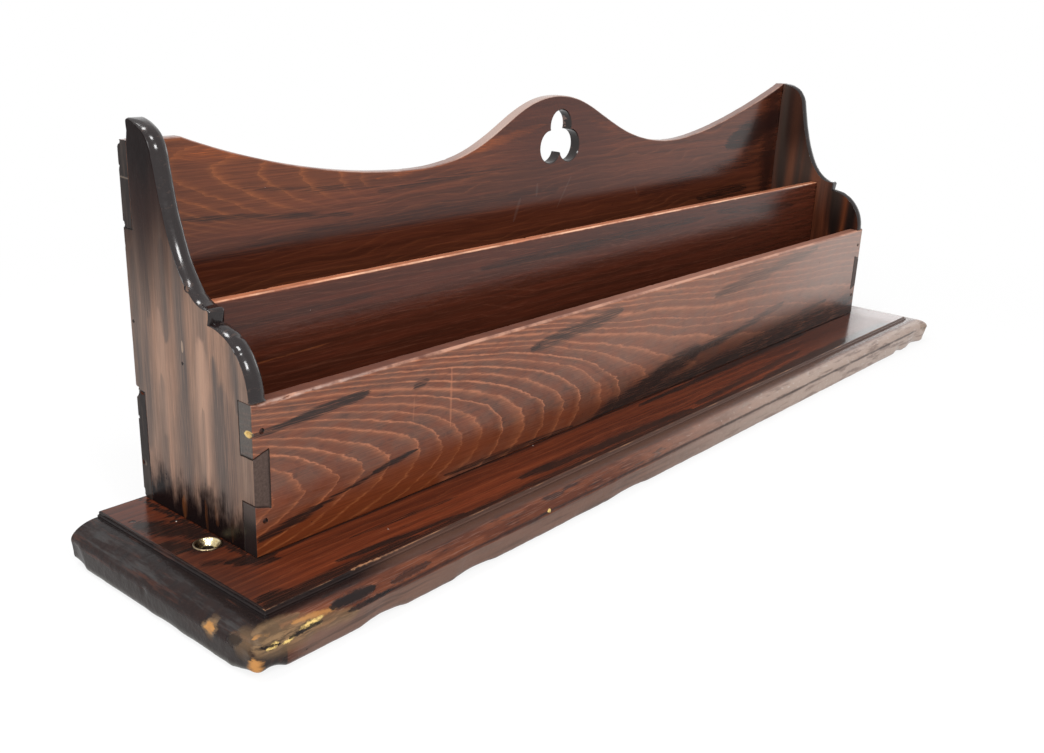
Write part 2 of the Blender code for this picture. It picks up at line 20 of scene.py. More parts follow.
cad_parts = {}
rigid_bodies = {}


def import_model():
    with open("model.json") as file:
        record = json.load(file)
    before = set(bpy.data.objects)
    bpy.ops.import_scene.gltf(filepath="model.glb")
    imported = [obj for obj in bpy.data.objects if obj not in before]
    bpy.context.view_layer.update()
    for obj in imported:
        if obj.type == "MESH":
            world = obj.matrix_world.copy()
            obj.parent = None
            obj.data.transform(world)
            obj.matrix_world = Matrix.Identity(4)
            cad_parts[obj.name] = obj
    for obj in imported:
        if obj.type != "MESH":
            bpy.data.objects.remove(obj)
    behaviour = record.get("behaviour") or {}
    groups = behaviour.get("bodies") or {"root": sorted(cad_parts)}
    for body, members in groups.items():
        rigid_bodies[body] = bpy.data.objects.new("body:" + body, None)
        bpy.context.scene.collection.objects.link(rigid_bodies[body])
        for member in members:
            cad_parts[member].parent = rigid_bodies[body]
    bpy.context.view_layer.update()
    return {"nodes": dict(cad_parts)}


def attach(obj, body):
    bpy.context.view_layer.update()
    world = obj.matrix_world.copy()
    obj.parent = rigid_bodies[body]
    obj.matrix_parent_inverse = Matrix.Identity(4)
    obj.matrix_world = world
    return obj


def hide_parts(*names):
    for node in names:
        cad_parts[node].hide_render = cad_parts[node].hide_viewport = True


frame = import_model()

# %% [markdown]
# ## The camera
#
# The photograph was taken from in front of the left end, a little above the rack. The lens, the
# place and the turn of the camera were worked out from the rack's own straight edges, so a point
# of the model falls on the same point of the picture.

# %% Set the camera
CAMERA_PLACE = (-0.57289, -0.38419, 0.25898)
CAMERA_RIGHT = (0.64891, -0.75988, 0.03866)
CAMERA_DOWN = (-0.21938, -0.23550, -0.94679)
CAMERA_FORWARD = (0.72855, 0.60590, -0.31952)
LENS = 37.40
SENSOR_WIDTH = 36.0
SHIFT = (0.0005, -0.00127)

scene = bpy.context.scene
scene.view_settings.view_transform = "Standard"
camera_data = bpy.data.cameras.new("picture_camera")
camera_data.lens = LENS
camera_data.sensor_width = SENSOR_WIDTH
camera_data.shift_x, camera_data.shift_y = SHIFT
camera = bpy.data.objects.new("picture_camera", camera_data)
scene.collection.objects.link(camera)
turn = Matrix((CAMERA_RIGHT, [-v for v in CAMERA_DOWN], [-v for v in CAMERA_FORWARD])).transposed()
camera.matrix_world = Matrix.Translation(CAMERA_PLACE) @ turn.to_4x4()
scene.camera = camera
print("camera at", CAMERA_PLACE)

# %% [markdown]
# ## Sizes
#
# The rack is described once, in metres, by the sizes that a maker would write on a drawing. The
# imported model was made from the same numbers, so the pieces below fall exactly on its solids.

# %% Sizes of the box and the base
BOX_LENGTH = 0.620
BOX_DEPTH = 0.0916
FRONT_HEIGHT = 0.0722
SIDE_HEIGHT = 0.1850
DIVIDER_HEIGHT = 0.1070
SIDE_THICK = 0.0084
FRONT_THICK = 0.0089
BACK_THICK = 0.0075
DIVIDER_THICK = 0.0065
BASE_THICK = 0.0222
DIVIDER_SETBACK = 0.0423
HOUSING_DEPTH = 0.0030
LEFT_FIELD = 0.0242
RIGHT_FIELD = 0.0228
FRONT_FIELD = 0.0380
LEFT_MOULDING = 0.0158
RIGHT_MOULDING = 0.0262
FRONT_MOULDING = 0.0130
BACK_END_DROP = 0.0102
FIT = 0.0003
OVERRUN = 0.0100

base_length = LEFT_MOULDING + LEFT_FIELD + BOX_LENGTH + RIGHT_FIELD + RIGHT_MOULDING
base_depth = FRONT_MOULDING + FRONT_FIELD + BOX_DEPTH
base_left, base_right = -base_length / 2, base_length / 2
base_front, base_rear = -base_depth / 2, base_depth / 2
box_left = base_left + LEFT_MOULDING + LEFT_FIELD
box_right = box_left + BOX_LENGTH
box_front = base_front + FRONT_MOULDING + FRONT_FIELD
box_rear = box_front + BOX_DEPTH
box_floor = BASE_THICK + FIT
box_top = box_floor + SIDE_HEIGHT
front_top = box_floor + FRONT_HEIGHT
back_face = box_rear - BACK_THICK
divider_front = box_front + DIVIDER_SETBACK
divider_rear = divider_front + DIVIDER_THICK
back_end_height = SIDE_HEIGHT - BACK_END_DROP
ends = {"left": (box_left, 1), "right": (box_right, -1)}
print("base %.1f x %.1f mm, box top at %.1f mm" % (base_length * 1e3, base_depth * 1e3, box_top * 1e3))

# %% [markdown]
# ## Outlines
#
# Each board starts as a flat outline, as it would on the bench. Curves are cubic, like a line drawn
# round a bent lath. Straight runs get extra points, because the next step wears the edge unevenly
# from point to point. Sharp corners keep a margin free of points, so that the rounded edge has
# room to turn.

# %% Draw curves and fill outlines with points
CURVE_STEPS = 22
POINT_SPACING = 0.0020
SHARP_TURN = math.radians(20)


def arc(centre, radii, start, end, steps):
    """Points along an elliptical arc, from one angle in degrees to another."""
    points = []
    for step in range(steps + 1):
        angle = math.radians(start + (end - start) * step / steps)
        points.append((centre[0] + radii[0] * math.cos(angle), centre[1] + radii[1] * math.sin(angle)))
    return points


def bend(start, start_handle, end_handle, end, steps=CURVE_STEPS):
    """Points along a cubic curve, without its last one."""
    corners = (start, start_handle, end_handle, end)
    points = []
    for step in range(steps):
        t = step / steps
        weights = ((1 - t) ** 3, 3 * t * (1 - t) ** 2, 3 * t * t * (1 - t), t ** 3)
        points.append(tuple(sum(w * corner[i] for w, corner in zip(weights, corners)) for i in range(2)))
    return points


def turn_at(before, here, after):
    """How sharply an outline turns at a point, positive to the left."""
    first = Vector(here) - Vector(before)
    second = Vector(after) - Vector(here)
    return math.atan2(first.x * second.y - first.y * second.x, first.dot(second))


def round_corner(before, here, after, radius, steps=4):
    """Points of a fillet that replaces one sharp corner."""
    into = (Vector(before) - Vector(here)).normalized()
    out = (Vector(after) - Vector(here)).normalized()
    half = math.acos(max(-1.0, min(1.0, into.dot(out)))) / 2
    reach = radius / math.tan(half)
    centre = Vector(here) + (into + out).normalized() * (radius / math.sin(half))
    start = Vector(here) + into * reach - centre
    end = Vector(here) + out * reach - centre
    sweep = math.atan2(start.x * end.y - start.y * end.x, start.dot(end))
    points = []
    for step in range(steps + 1):
        angle = sweep * step / steps
        points.append((centre.x + start.x * math.cos(angle) - start.y * math.sin(angle),
                       centre.y + start.x * math.sin(angle) + start.y * math.cos(angle)))
    return points


def filled(corners, margin):
    """A closed outline, anticlockwise, with extra points along its straight runs."""
    area = sum(a[0] * b[1] - b[0] * a[1] for a, b in zip(corners, corners[1:] + corners[:1]))
    if area < 0:
        corners = corners[::-1]
    count = len(corners)
    sharp = [abs(turn_at(corners[i - 1], corners[i], corners[(i + 1) % count])) > SHARP_TURN
             for i in range(count)]
    points = []
    for i, here in enumerate(corners):
        there = corners[(i + 1) % count]
        length = math.dist(here, there)
        start = margin if sharp[i] else 0.0
        end = length - (margin if sharp[(i + 1) % count] else 0.0)
        points.append(here)
        if length < POINT_SPACING or end <= start:
            continue
        steps = max(1, math.ceil((end - start) / POINT_SPACING))
        for step in range(0 if start else 1, steps + 1 if end < length else steps):
            share = (start + (end - start) * step / steps) / length
            points.append((here[0] + (there[0] - here[0]) * share, here[1] + (there[1] - here[1]) * share))
    return points


# %% [markdown]
# ## One tree for every board
#
# All five boards are the same thing: a flat outline with a thickness and eased, worn edges. A
# geometry tree states that rule once. It takes the outline as a loop of edges and lays a grid of
# points round it. Each row of the grid goes over one arris, down the edge and over the other
# arris. Noise along the outline makes the easing wider here and tighter there, and sinks the edge
# a little, as handling does. Two filled faces close the board.
#
# The rule could also be written in mesh code or with a Bevel modifier. The tree keeps every
# size as a named input, and each arris may have its own share of the rounding, so the joints can
# stay crisp.

# %% Helpers to build node trees
def node(tree, kind, inputs=None, **settings):
    """Add a node. Its inputs are plain values or the outputs of other nodes."""
    new = tree.nodes.new(kind)
    for name, value in settings.items():
        setattr(new, name, value)
    for key, value in (inputs or {}).items():
        if isinstance(value, bpy.types.NodeSocket):
            tree.links.new(value, new.inputs[key])
        else:
            new.inputs[key].default_value = value
    return new


def made(kind, inputs, socket=0, **settings):
    """An output of a new node, in the tree that its first linked input comes from."""
    tree = next(value.id_data for value in inputs.values() if isinstance(value, bpy.types.NodeSocket))
    return node(tree, kind, inputs, **settings).outputs[socket]


def calc(operation, *values, clamp=False):
    """The output of a Math node."""
    return made("ShaderNodeMath", dict(enumerate(values)), operation=operation, use_clamp=clamp)


def vector_calc(operation, *values, output="Vector", **inputs):
    """The output of a Vector Math node."""
    return made("ShaderNodeVectorMath", {**dict(enumerate(values)), **inputs}, output, operation=operation)


def mixed(factor, first, second):
    """The first value where the factor is 0 and the second one where it is 1."""
    return made("ShaderNodeMix", {0: factor, 2: first, 3: second}, data_type="FLOAT")


def joined(**axes):
    """A vector from single values for its axes."""
    return made("ShaderNodeCombineXYZ", {"XYZ".index(axis): value for axis, value in axes.items()})


def new_group(name, kind, inputs, outputs):
    """A node group with named sockets, and its input and output nodes."""
    tree = bpy.data.node_groups.new(name, kind)
    for title, socket, value in inputs:
        item = tree.interface.new_socket(title, in_out="INPUT", socket_type="NodeSocket" + socket)
        if value is not None:
            item.default_value = value
    for title, socket in outputs:
        tree.interface.new_socket(title, in_out="OUTPUT", socket_type="NodeSocket" + socket)
    return tree, tree.nodes.new("NodeGroupInput").outputs, tree.nodes.new("NodeGroupOutput").inputs


# %% The tree of a worn board
NICK_FROM = 0.62
NICK_STRENGTH = 5.0
LEAST_RADIUS = 0.0001
MOST_ROUNDING = 0.46
MOST_CROWN = 0.49
SUNK_FROM = 0.35
RIM_WELD = 0.00001


def finish_tree(geometry, given, output):
    """Every geometry tree ends like this: real meshes with one finish."""
    real = made("GeometryNodeRealizeInstances", {"Geometry": geometry})
    done = made("GeometryNodeSetMaterial", {"Geometry": real, "Material": given["Finish"]})
    done.id_data.links.new(done, output)


def board_tree():
    tree, given, result = new_group("worn_board", "GeometryNodeTree", (
        ("Outline", "Geometry", None), ("Thickness", "Float", 0.008), ("Rounding", "Float", 0.001),
        ("Crown", "Float", 1.0), ("Bluntness", "Float", 1.0),
        ("Wear", "Float", 0.0002), ("Wear Scale", "Float", 60.0), ("Seed", "Float", 0.0),
        ("Arris Steps", "Int", 3), ("Finish", "Material", None)), (("Board", "Geometry"),))

    def named(name, kind="FLOAT"):
        return node(tree, "GeometryNodeInputNamedAttribute", {"Name": name},
                    data_type=kind).outputs["Attribute"]

    place = node(tree, "GeometryNodeInputPosition").outputs[0]
    outline = given["Outline"]
    for shift, side in enumerate(("low", "high")):
        seed = calc("ADD", given["Seed"], 11.3 * shift)
        wander = made("ShaderNodeTexNoise", {"Vector": place, "W": seed, "Scale": given["Wear Scale"],
                                             "Detail": 4.0, "Roughness": 0.6}, "Fac",
                      noise_dimensions="4D")
        nick = made("ShaderNodeTexNoise", {"Vector": place, "W": calc("ADD", seed, 5.0),
                                           "Scale": calc("MULTIPLY", given["Wear Scale"], 2.6),
                                           "Detail": 2.0}, "Fac", noise_dimensions="4D")
        nick = calc("MULTIPLY", calc("SUBTRACT", nick, NICK_FROM, clamp=True), NICK_STRENGTH)
        share = named("share_" + side)
        spread = calc("ADD", calc("MULTIPLY_ADD", wander, 0.8, 0.6), nick)
        radius = calc("MULTIPLY", calc("MULTIPLY", given["Rounding"], share), spread)
        radius = calc("MAXIMUM", radius, LEAST_RADIUS)
        radius = calc("MINIMUM", radius, calc("MULTIPLY", given["Thickness"], MOST_ROUNDING))
        sunk = calc("SUBTRACT", calc("ADD", wander, nick), SUNK_FROM, clamp=True)
        sunk = calc("MULTIPLY", calc("MULTIPLY", sunk, given["Wear"]), share)
        for name, value in (("radius_" + side, radius), ("sunk_" + side, sunk)):
            outline = made("GeometryNodeStoreNamedAttribute",
                           {"Geometry": outline, "Name": name, "Value": value}, data_type="FLOAT",
                           domain="POINT")

    count = made("GeometryNodeAttributeDomainSize", {"Geometry": outline}, component="MESH")
    rows = calc("MULTIPLY_ADD", given["Arris Steps"], 2.0, 2.0)
    grid = made("GeometryNodeMeshGrid", {"Size X": 1.0, "Size Y": 1.0, "Vertices Y": rows,
                                         "Vertices X": calc("ADD", count, 1.0)}, "Mesh")
    index = node(tree, "GeometryNodeInputIndex").outputs[0]
    column = calc("FLOOR", calc("DIVIDE", calc("ADD", index, 0.5), rows))
    row = calc("SUBTRACT", index, calc("MULTIPLY", column, rows))
    column = calc("FLOORED_MODULO", column, count)

    def sampled(value, kind="FLOAT"):
        return made("GeometryNodeSampleIndex", {"Geometry": outline, "Value": value, "Index": column},
                    data_type=kind, domain="POINT")

    upper = calc("GREATER_THAN", row, calc("ADD", given["Arris Steps"], 0.5))
    from_end = calc("SUBTRACT", calc("SUBTRACT", rows, 1.0), row)
    step = mixed(upper, row, from_end)
    angle = calc("MULTIPLY", calc("DIVIDE", step, given["Arris Steps"]), math.pi / 2)
    radius, sunk = (mixed(upper, sampled(named(name + "_low")), sampled(named(name + "_high")))
                    for name in ("radius", "sunk"))
    sine = calc("POWER", calc("MAXIMUM", calc("SINE", angle), 0.0), given["Bluntness"])
    cosine = calc("POWER", calc("MAXIMUM", calc("COSINE", angle), 0.0), given["Bluntness"])
    inset = calc("MULTIPLY_ADD", radius, calc("SUBTRACT", 1.0, sine), sunk)
    across = calc("MINIMUM", calc("MULTIPLY", radius, given["Crown"]),
                  calc("MULTIPLY", given["Thickness"], MOST_CROWN))
    depth = calc("MULTIPLY", across, calc("SUBTRACT", 1.0, cosine))
    height = mixed(upper, depth, calc("SUBTRACT", given["Thickness"], depth))
    flat = vector_calc("MULTIPLY_ADD", sampled(named("inward", "FLOAT_VECTOR"), "FLOAT_VECTOR"),
                       joined(X=inset, Y=inset), sampled(place, "FLOAT_VECTOR"))
    spot = vector_calc("ADD", flat, joined(Z=height))
    rim = made("GeometryNodeSetPosition", {"Geometry": grid, "Position": spot})

    parts = [rim]
    for side, lift in (("low", 0.0), ("high", given["Thickness"])):
        reach = calc("ADD", named("radius_" + side), named("sunk_" + side))
        inner = vector_calc("SCALE", named("inward", "FLOAT_VECTOR"), Scale=reach)
        loop = made("GeometryNodeSetPosition", {"Geometry": outline, "Offset": inner})
        curve = made("GeometryNodeMeshToCurve", {"Mesh": loop})
        face = made("GeometryNodeFillCurve", {"Curve": curve}, mode="NGONS")
        raised = node(tree, "ShaderNodeCombineXYZ", {2: lift}).outputs[0]
        parts.append(made("GeometryNodeTransform", {"Geometry": face, "Translation": raised}))
    join = tree.nodes.new("GeometryNodeJoinGeometry")
    for part in reversed(parts):
        tree.links.new(part, join.inputs[0])
    welded = made("GeometryNodeMergeByDistance", {"Geometry": join.outputs[0], "Distance": RIM_WELD})
    finish_tree(welded, given, result["Board"])
    return tree


worn_board = board_tree()
print("worn_board tree:", len(worn_board.nodes), "nodes")


# %% Run a tree and keep its mesh
def set_inputs(modifier, **values):
    """Set a tree's inputs by the identifiers of its sockets."""
    for item in modifier.node_group.interface.items_tree:
        title = item.name.replace(" ", "_")
        if item.in_out == "INPUT" and title in values:
            modifier[item.identifier] = values[title]


def evaluated_mesh(thing):
    """What an object's modifiers make of it, as a mesh of its own."""
    bpy.context.view_layer.update()
    view = bpy.context.evaluated_depsgraph_get()
    return bpy.data.meshes.new_from_object(thing.evaluated_get(view), depsgraph=view)


WELD = 0.000001
MOST_SIDES = 8


def placed(mesh, name):
    thing = bpy.data.objects.new(name, mesh)
    scene.collection.objects.link(thing)
    return thing


def tidy_mesh(mesh):
    """Weld a mesh and turn its faces outwards. Prints whether it is closed."""
    shape = bmesh.new()
    shape.from_mesh(mesh)
    bmesh.ops.remove_doubles(shape, verts=shape.verts, dist=WELD)
    bmesh.ops.dissolve_degenerate(shape, edges=shape.edges, dist=WELD)
    rims = [edge for edge in shape.edges if len(edge.link_faces) == 1]
    bmesh.ops.holes_fill(shape, edges=rims, sides=MOST_SIDES)
    bmesh.ops.recalc_face_normals(shape, faces=shape.faces)
    open_edges = sum(not edge.is_manifold for edge in shape.edges)
    shape.to_mesh(mesh)
    shape.free()
    print("  ", mesh.name, len(mesh.polygons), "faces, open edges:", open_edges)
    return mesh


ARRIS_STEPS = 5
SHARPEST_MITRE = 0.4
# An outline's first coordinate, its second one and the thickness, along the rack's axes
FRAMES = {"X": Matrix(((0, 0, 1, 0), (1, 0, 0, 0), (0, 1, 0, 0), (0, 0, 0, 1))),
          "Y": Matrix(((1, 0, 0, 0), (0, 0, 1, 0), (0, 1, 0, 0), (0, 0, 0, 1))),
          "Z": Matrix.Identity(4)}


def make_board(name, outline, axis, low, high, shares, **wear):
    """A board from its outline. shares(point) gives the easing of its low and its high arris.

    The rest are inputs of the tree. A crown above 1 spreads the easing over the edge, which makes
    the edge bulge. A bluntness above 1 turns the round into a worn flat.
    """
    count = len(outline)
    mesh = bpy.data.meshes.new(name)
    mesh.from_pydata([(a, b, 0) for a, b in outline], [(i, (i + 1) % count) for i in range(count)], [])
    for title, kind in (("inward", "FLOAT_VECTOR"), ("share_low", "FLOAT"), ("share_high", "FLOAT")):
        mesh.attributes.new(title, kind, "POINT")
    inward, low_share, high_share = (mesh.attributes[title]
                                     for title in ("inward", "share_low", "share_high"))
    for i, here in enumerate(outline):
        before = (Vector(here) - Vector(outline[i - 1])).normalized()
        after = (Vector(outline[(i + 1) % count]) - Vector(here)).normalized()
        first = Vector((-before.y, before.x))
        second = Vector((-after.y, after.x))
        mitre = (first + second) / max(SHARPEST_MITRE, 1 + first.dot(second))
        inward.data[i].vector = (mitre.x, mitre.y, 0)
        low_share.data[i].value, high_share.data[i].value = shares(here)
    blank = placed(mesh, name + "_outline")
    modifier = blank.modifiers.new("board", "NODES")
    modifier.node_group = worn_board
    set_inputs(modifier, Thickness=high - low, Arris_Steps=ARRIS_STEPS, **wear)
    board = evaluated_mesh(blank)
    bpy.data.objects.remove(blank, do_unlink=True)
    board.transform(Matrix.Translation([low if letter == axis else 0 for letter in "XYZ"]) @ FRAMES[axis])
    board.name = name
    return placed(tidy_mesh(board), name)


# %% [markdown]
# ## Cutting joints and damage
#
# Sockets, housings and holes are cut the way that a saw and a chisel cut them: a solid the shape
# of the waste is subtracted. Chips and bruises are subtracted too, with pebbles of noise, so that
# each break is a real hollow that catches the light.

# %% Tools that take wood away
PEBBLE_ROUGHNESS = 0.35


def prism(outline, axis, low, high, flare=0.0):
    """A closed prism. With a flare it opens out at both ends, which leaves an eased edge."""
    levels = [(low, 0.0), (high, 0.0)]
    if flare:
        levels = [(low - OVERRUN, flare), (low, flare), (low + flare, 0.0), (high - flare, 0.0),
                  (high, flare), (high + OVERRUN, flare)]
    count = len(outline)
    area = sum(a[0] * b[1] - b[0] * a[1] for a, b in zip(outline, outline[1:] + outline[:1]))
    shape = bmesh.new()
    rings = []
    for level, grow in levels:
        ring = []
        for i, here in enumerate(outline):
            along = (Vector(outline[(i + 1) % count]) - Vector(outline[i - 1])).normalized()
            out = Vector((along.y, -along.x)) * (grow if area > 0 else -grow)
            ring.append(shape.verts.new(FRAMES[axis] @ Vector((here[0] + out.x, here[1] + out.y, level))))
        rings.append(ring)
    for ring, above in zip(rings, rings[1:]):
        for i in range(count):
            shape.faces.new((ring[i - 1], ring[i], above[i], above[i - 1]))
    shape.faces.new(rings[0])
    shape.faces.new(rings[-1])
    bmesh.ops.recalc_face_normals(shape, faces=shape.faces)
    mesh = bpy.data.meshes.new("waste")
    shape.to_mesh(mesh)
    shape.free()
    return mesh


def rectangle(left, right, low, high):
    return [(left, low), (right, low), (right, high), (left, high)]


def block(low, high):
    return prism(rectangle(low[0], high[0], low[1], high[1]), "Z", low[2], high[2])


def pebble(centre, radii, seed):
    """A lump of noise, for chips. Radii are in millimetres, the centre is in metres."""
    shape = bmesh.new()
    bmesh.ops.create_icosphere(shape, subdivisions=3, radius=1.0)
    for vert in shape.verts:
        swell = noise.noise(vert.co * 1.7 + Vector((seed * 7.1, 0, 0)))
        swell += 0.5 * noise.noise(vert.co * 4.1 + Vector((0, seed * 3.3, 0)))
        vert.co *= 1 + PEBBLE_ROUGHNESS * swell
    size = Matrix.Diagonal((radii[0] / 1000, radii[1] / 1000, radii[2] / 1000, 1))
    bmesh.ops.transform(shape, matrix=Matrix.Translation(centre) @ size, verts=shape.verts)
    mesh = bpy.data.meshes.new("pebble")
    shape.to_mesh(mesh)
    shape.free()
    return mesh


def carve(board, wastes):
    """Subtract each waste from a board, one after the other."""
    tools = []
    for waste in wastes:
        tool = placed(waste, "waste")
        tools.append(tool)
        boolean = board.modifiers.new("cut", "BOOLEAN")
        boolean.operation = "DIFFERENCE"
        boolean.solver = "EXACT"
        boolean.object = tool
    mesh = evaluated_mesh(board)
    board.modifiers.clear()
    for tool in tools:
        bpy.data.objects.remove(tool, do_unlink=True)
    mesh.name = board.name
    board.data = tidy_mesh(mesh)
    return board


def turned(profile, steps, ring=False):
    """A closed mesh turned about Z, from (radius, height) pairs."""
    shape = bmesh.new()
    rows = []
    for radius, height in profile:
        if radius < WELD:
            rows.append([shape.verts.new((0, 0, height))] * steps)
            continue
        turns = [math.tau * i / steps for i in range(steps)]
        rows.append([shape.verts.new((radius * math.cos(t), radius * math.sin(t), height)) for t in turns])
    pairs = list(zip(rows, rows[1:]))
    if ring:
        pairs.append((rows[-1], rows[0]))
    for upper, lower in pairs:
        for i in range(steps):
            corners = list(dict.fromkeys([upper[i - 1], upper[i], lower[i], lower[i - 1]]))
            if len(corners) > 2:
                shape.faces.new(corners)
    bmesh.ops.recalc_face_normals(shape, faces=shape.faces)
    mesh = bpy.data.meshes.new("turned")
    shape.to_mesh(mesh)
    shape.free()
    return mesh


def moved(mesh, place):
    mesh.transform(place)
    return mesh


# %% [markdown]
# ## The joints
#
# The front and the back carry the tails, which show as long blocks on the ends of the rack. The
# sides carry one pin at each corner. Its sloping cheeks show on the front board's face. The same
# few heights draw both halves of a joint, so they always meet.

# %% Heights and wastes of the dovetails
DOVETAIL_SLOPE = 0.33
FRONT_PIN_SHARES = (0.324, 0.672)
BACK_PIN_SHARES = (0.315, 0.780)


def pin_edges(height, pin_shares):
    """Heights where a side's pin begins and ends, at its outer face and at its inner face."""
    flare = DOVETAIL_SLOPE * SIDE_THICK / 2
    low = box_floor + height * pin_shares[0]
    high = box_floor + height * pin_shares[1]
    return (low + flare, high - flare), (low - flare, high + flare)


def pin_space(outer, inward, height, pin_shares, low, high):
    """What a tail board loses for a side's pin: narrow outside and wide inside."""
    (low_out, high_out), (low_in, high_in) = pin_edges(height, pin_shares)
    past = DOVETAIL_SLOPE * OVERRUN
    outside = outer - inward * OVERRUN
    inside = outer + inward * (SIDE_THICK + FIT)
    outline = [(outside, low_out + past - FIT), (inside, low_in - FIT),
               (inside, high_in + FIT), (outside, high_out - past + FIT)]
    return prism(outline, "Y", low, high)


def tail_socket(outer, inward, edge_out, edge_in, limit, low, high):
    """What a side loses for one tail: from the tail's sloping edge to a level limit."""
    slope = (edge_in - edge_out) / SIDE_THICK
    outside = outer - inward * OVERRUN
    inside = outer + inward * (SIDE_THICK + OVERRUN)
    outline = [(outside, limit), (inside, limit), (inside, edge_in + slope * OVERRUN),
               (outside, edge_out - slope * OVERRUN)]
    return prism(outline, "Y", low, high)


front_out, front_in = pin_edges(FRONT_HEIGHT, FRONT_PIN_SHARES)
back_out, back_in = pin_edges(back_end_height, BACK_PIN_SHARES)
print("front pin %.1f to %.1f mm, back pin %.1f to %.1f mm" % tuple(v * 1e3 for v in front_out + back_out))

# %% [markdown]
# ## The panel pins
#
# Two thin pins go through the tails at each corner. Their heads show as small dark spots. The holes
# are cut first and the pins are set in them later.

# %% Places and holes of the panel pins
PIN_RADIUS = 0.0007
PIN_HEAD_RADIUS = 0.0011
PIN_HEAD_LENGTH = 0.0008
PIN_LENGTH = 0.0220
PIN_POINT = 0.0015
PIN_SUNK = 0.0004
PIN_INSET_SHARE = 0.62
FRONT_PIN_LEVELS = (0.226, 0.822)
BACK_PIN_LEVELS = (0.106, 0.880)


def pin_places():
    """Head place, facing and board row of each panel pin."""
    spots = []
    for row, face, facing, height, levels in (
            ("front", box_front, -1, FRONT_HEIGHT, FRONT_PIN_LEVELS),
            ("back", box_rear, 1, back_end_height, BACK_PIN_LEVELS)):
        for outer, inward in ends.values():
            for share in levels:
                spots.append((row, facing, Vector((outer + inward * SIDE_THICK * PIN_INSET_SHARE,
                              face - facing * PIN_SUNK, box_floor + height * share))))
    return spots


def pin_hole(facing, head):
    radius = PIN_HEAD_RADIUS + FIT
    hole = turned([(0, OVERRUN), (radius, OVERRUN), (radius, -PIN_HEAD_LENGTH - FIT),
                   (PIN_RADIUS + FIT, -PIN_HEAD_LENGTH - FIT), (PIN_RADIUS + FIT, -PIN_LENGTH),
                   (0, -PIN_LENGTH)], 12)
    return moved(hole, Matrix.Translation(head) @ Matrix.Rotation(-facing * math.pi / 2, 4, "X"))


panel_pins = pin_places()
print(len(panel_pins), "panel pins")

# %% [markdown]
# ## The sides
#
# Seen from the end, a side has a round foot behind the front board, a notch, a long sweep and a
# round head. Its scrolled edge is the part that hands touch, so it is eased most. The foot, the
# back edge and the joints stay nearly square.

# %% Outline and boards of the sides
FOOT_SHARES = (0.327, 0.270)
NOTCH_RISE_SHARE = 0.053
SWEEP_END_SHARES = (0.748, 0.867)
SWEEP_HANDLE_SHARES = (0.190, 0.368)
HEAD_HANDLE_SHARES = (0.155, 0.085)
HEAD_LEAN = 0.19
SCROLL_ROUNDING = 0.0020
SIDE_MARGIN = 0.0045
NOTCH_FILLET = 0.0019
HEAD_REAR_RADIUS = 0.0018
JOINT_SHARE = 0.04
notch = (box_front + (BOX_DEPTH - BACK_THICK) * FOOT_SHARES[0],
         front_top + (SIDE_HEIGHT - FRONT_HEIGHT) * (FOOT_SHARES[1] + NOTCH_RISE_SHARE))
head_rear = back_face - FIT - 0.0001
tail_top = box_floor + back_end_height


def side_outline():
    """The side seen from its end, as (y, z) pairs."""
    reach = BOX_DEPTH - BACK_THICK
    rise = SIDE_HEIGHT - FRONT_HEIGHT
    foot = (reach * FOOT_SHARES[0], rise * FOOT_SHARES[1])
    sweep_end = (box_front + reach * SWEEP_END_SHARES[0], front_top + rise * SWEEP_END_SHARES[1])
    head_rise = rise * HEAD_HANDLE_SHARES[1]
    sweep_rise = rise * SWEEP_HANDLE_SHARES[1]
    head_top = (back_face, box_top)
    outline = [(box_front, box_floor), (box_rear, box_floor), (box_rear, tail_top), (head_rear, tail_top)]
    head = bend(head_top, (back_face - reach * HEAD_HANDLE_SHARES[0], box_top),
                (sweep_end[0] + head_rise * HEAD_LEAN, sweep_end[1] + head_rise), sweep_end)
    head = [point for point in head if point[0] < head_rear - HEAD_REAR_RADIUS]
    outline += round_corner((head_rear, tail_top), (head_rear, box_top), head[0], HEAD_REAR_RADIUS, 6)
    outline += head
    sweep = bend(sweep_end, (sweep_end[0] - sweep_rise * HEAD_LEAN, sweep_end[1] - sweep_rise),
                 (notch[0] + reach * SWEEP_HANDLE_SHARES[0], notch[1]), notch)
    outline += [point for point in sweep if point[0] > notch[0] + 2 * NOTCH_FILLET]
    step_foot = (notch[0], front_top + foot[1])
    outline += round_corner(sweep[-1], notch, step_foot, NOTCH_FILLET)
    outline += arc((notch[0], front_top), foot, 90, 180, CURVE_STEPS)
    return outline


def rise_between(value, low, high):
    return min(1.0, max(0.0, (value - low) / (high - low)))


def side_shares(outer_is_low):
    """Easing of the two arrises: full along the scroll, less at the notch, slight at the joints."""
    def shares(point):
        y, z = point
        full = 0.35 + 0.65 * rise_between(math.dist(point, notch), 0.0015, 0.0090)
        full *= 0.28 + 0.72 * rise_between(math.dist(point, (head_rear, box_top)), 0.0030, 0.0110)
        inner_share = 0.65
        if z < box_floor + 0.001:
            full, inner_share = JOINT_SHARE, 1.0
        elif y < box_front + 0.0001 and z < front_top + 0.0004:
            full, inner_share = 0.10, JOINT_SHARE
        elif y > box_rear - 0.0001:
            full, inner_share = 0.18, JOINT_SHARE
        elif y > head_rear - 0.0001:
            full = JOINT_SHARE + 0.9 * full * rise_between(z, tail_top + 0.0005, tail_top + 0.0040)
        outer, inner = full, full * inner_share
        return (outer, inner) if outer_is_low else (inner, outer)
    return shares


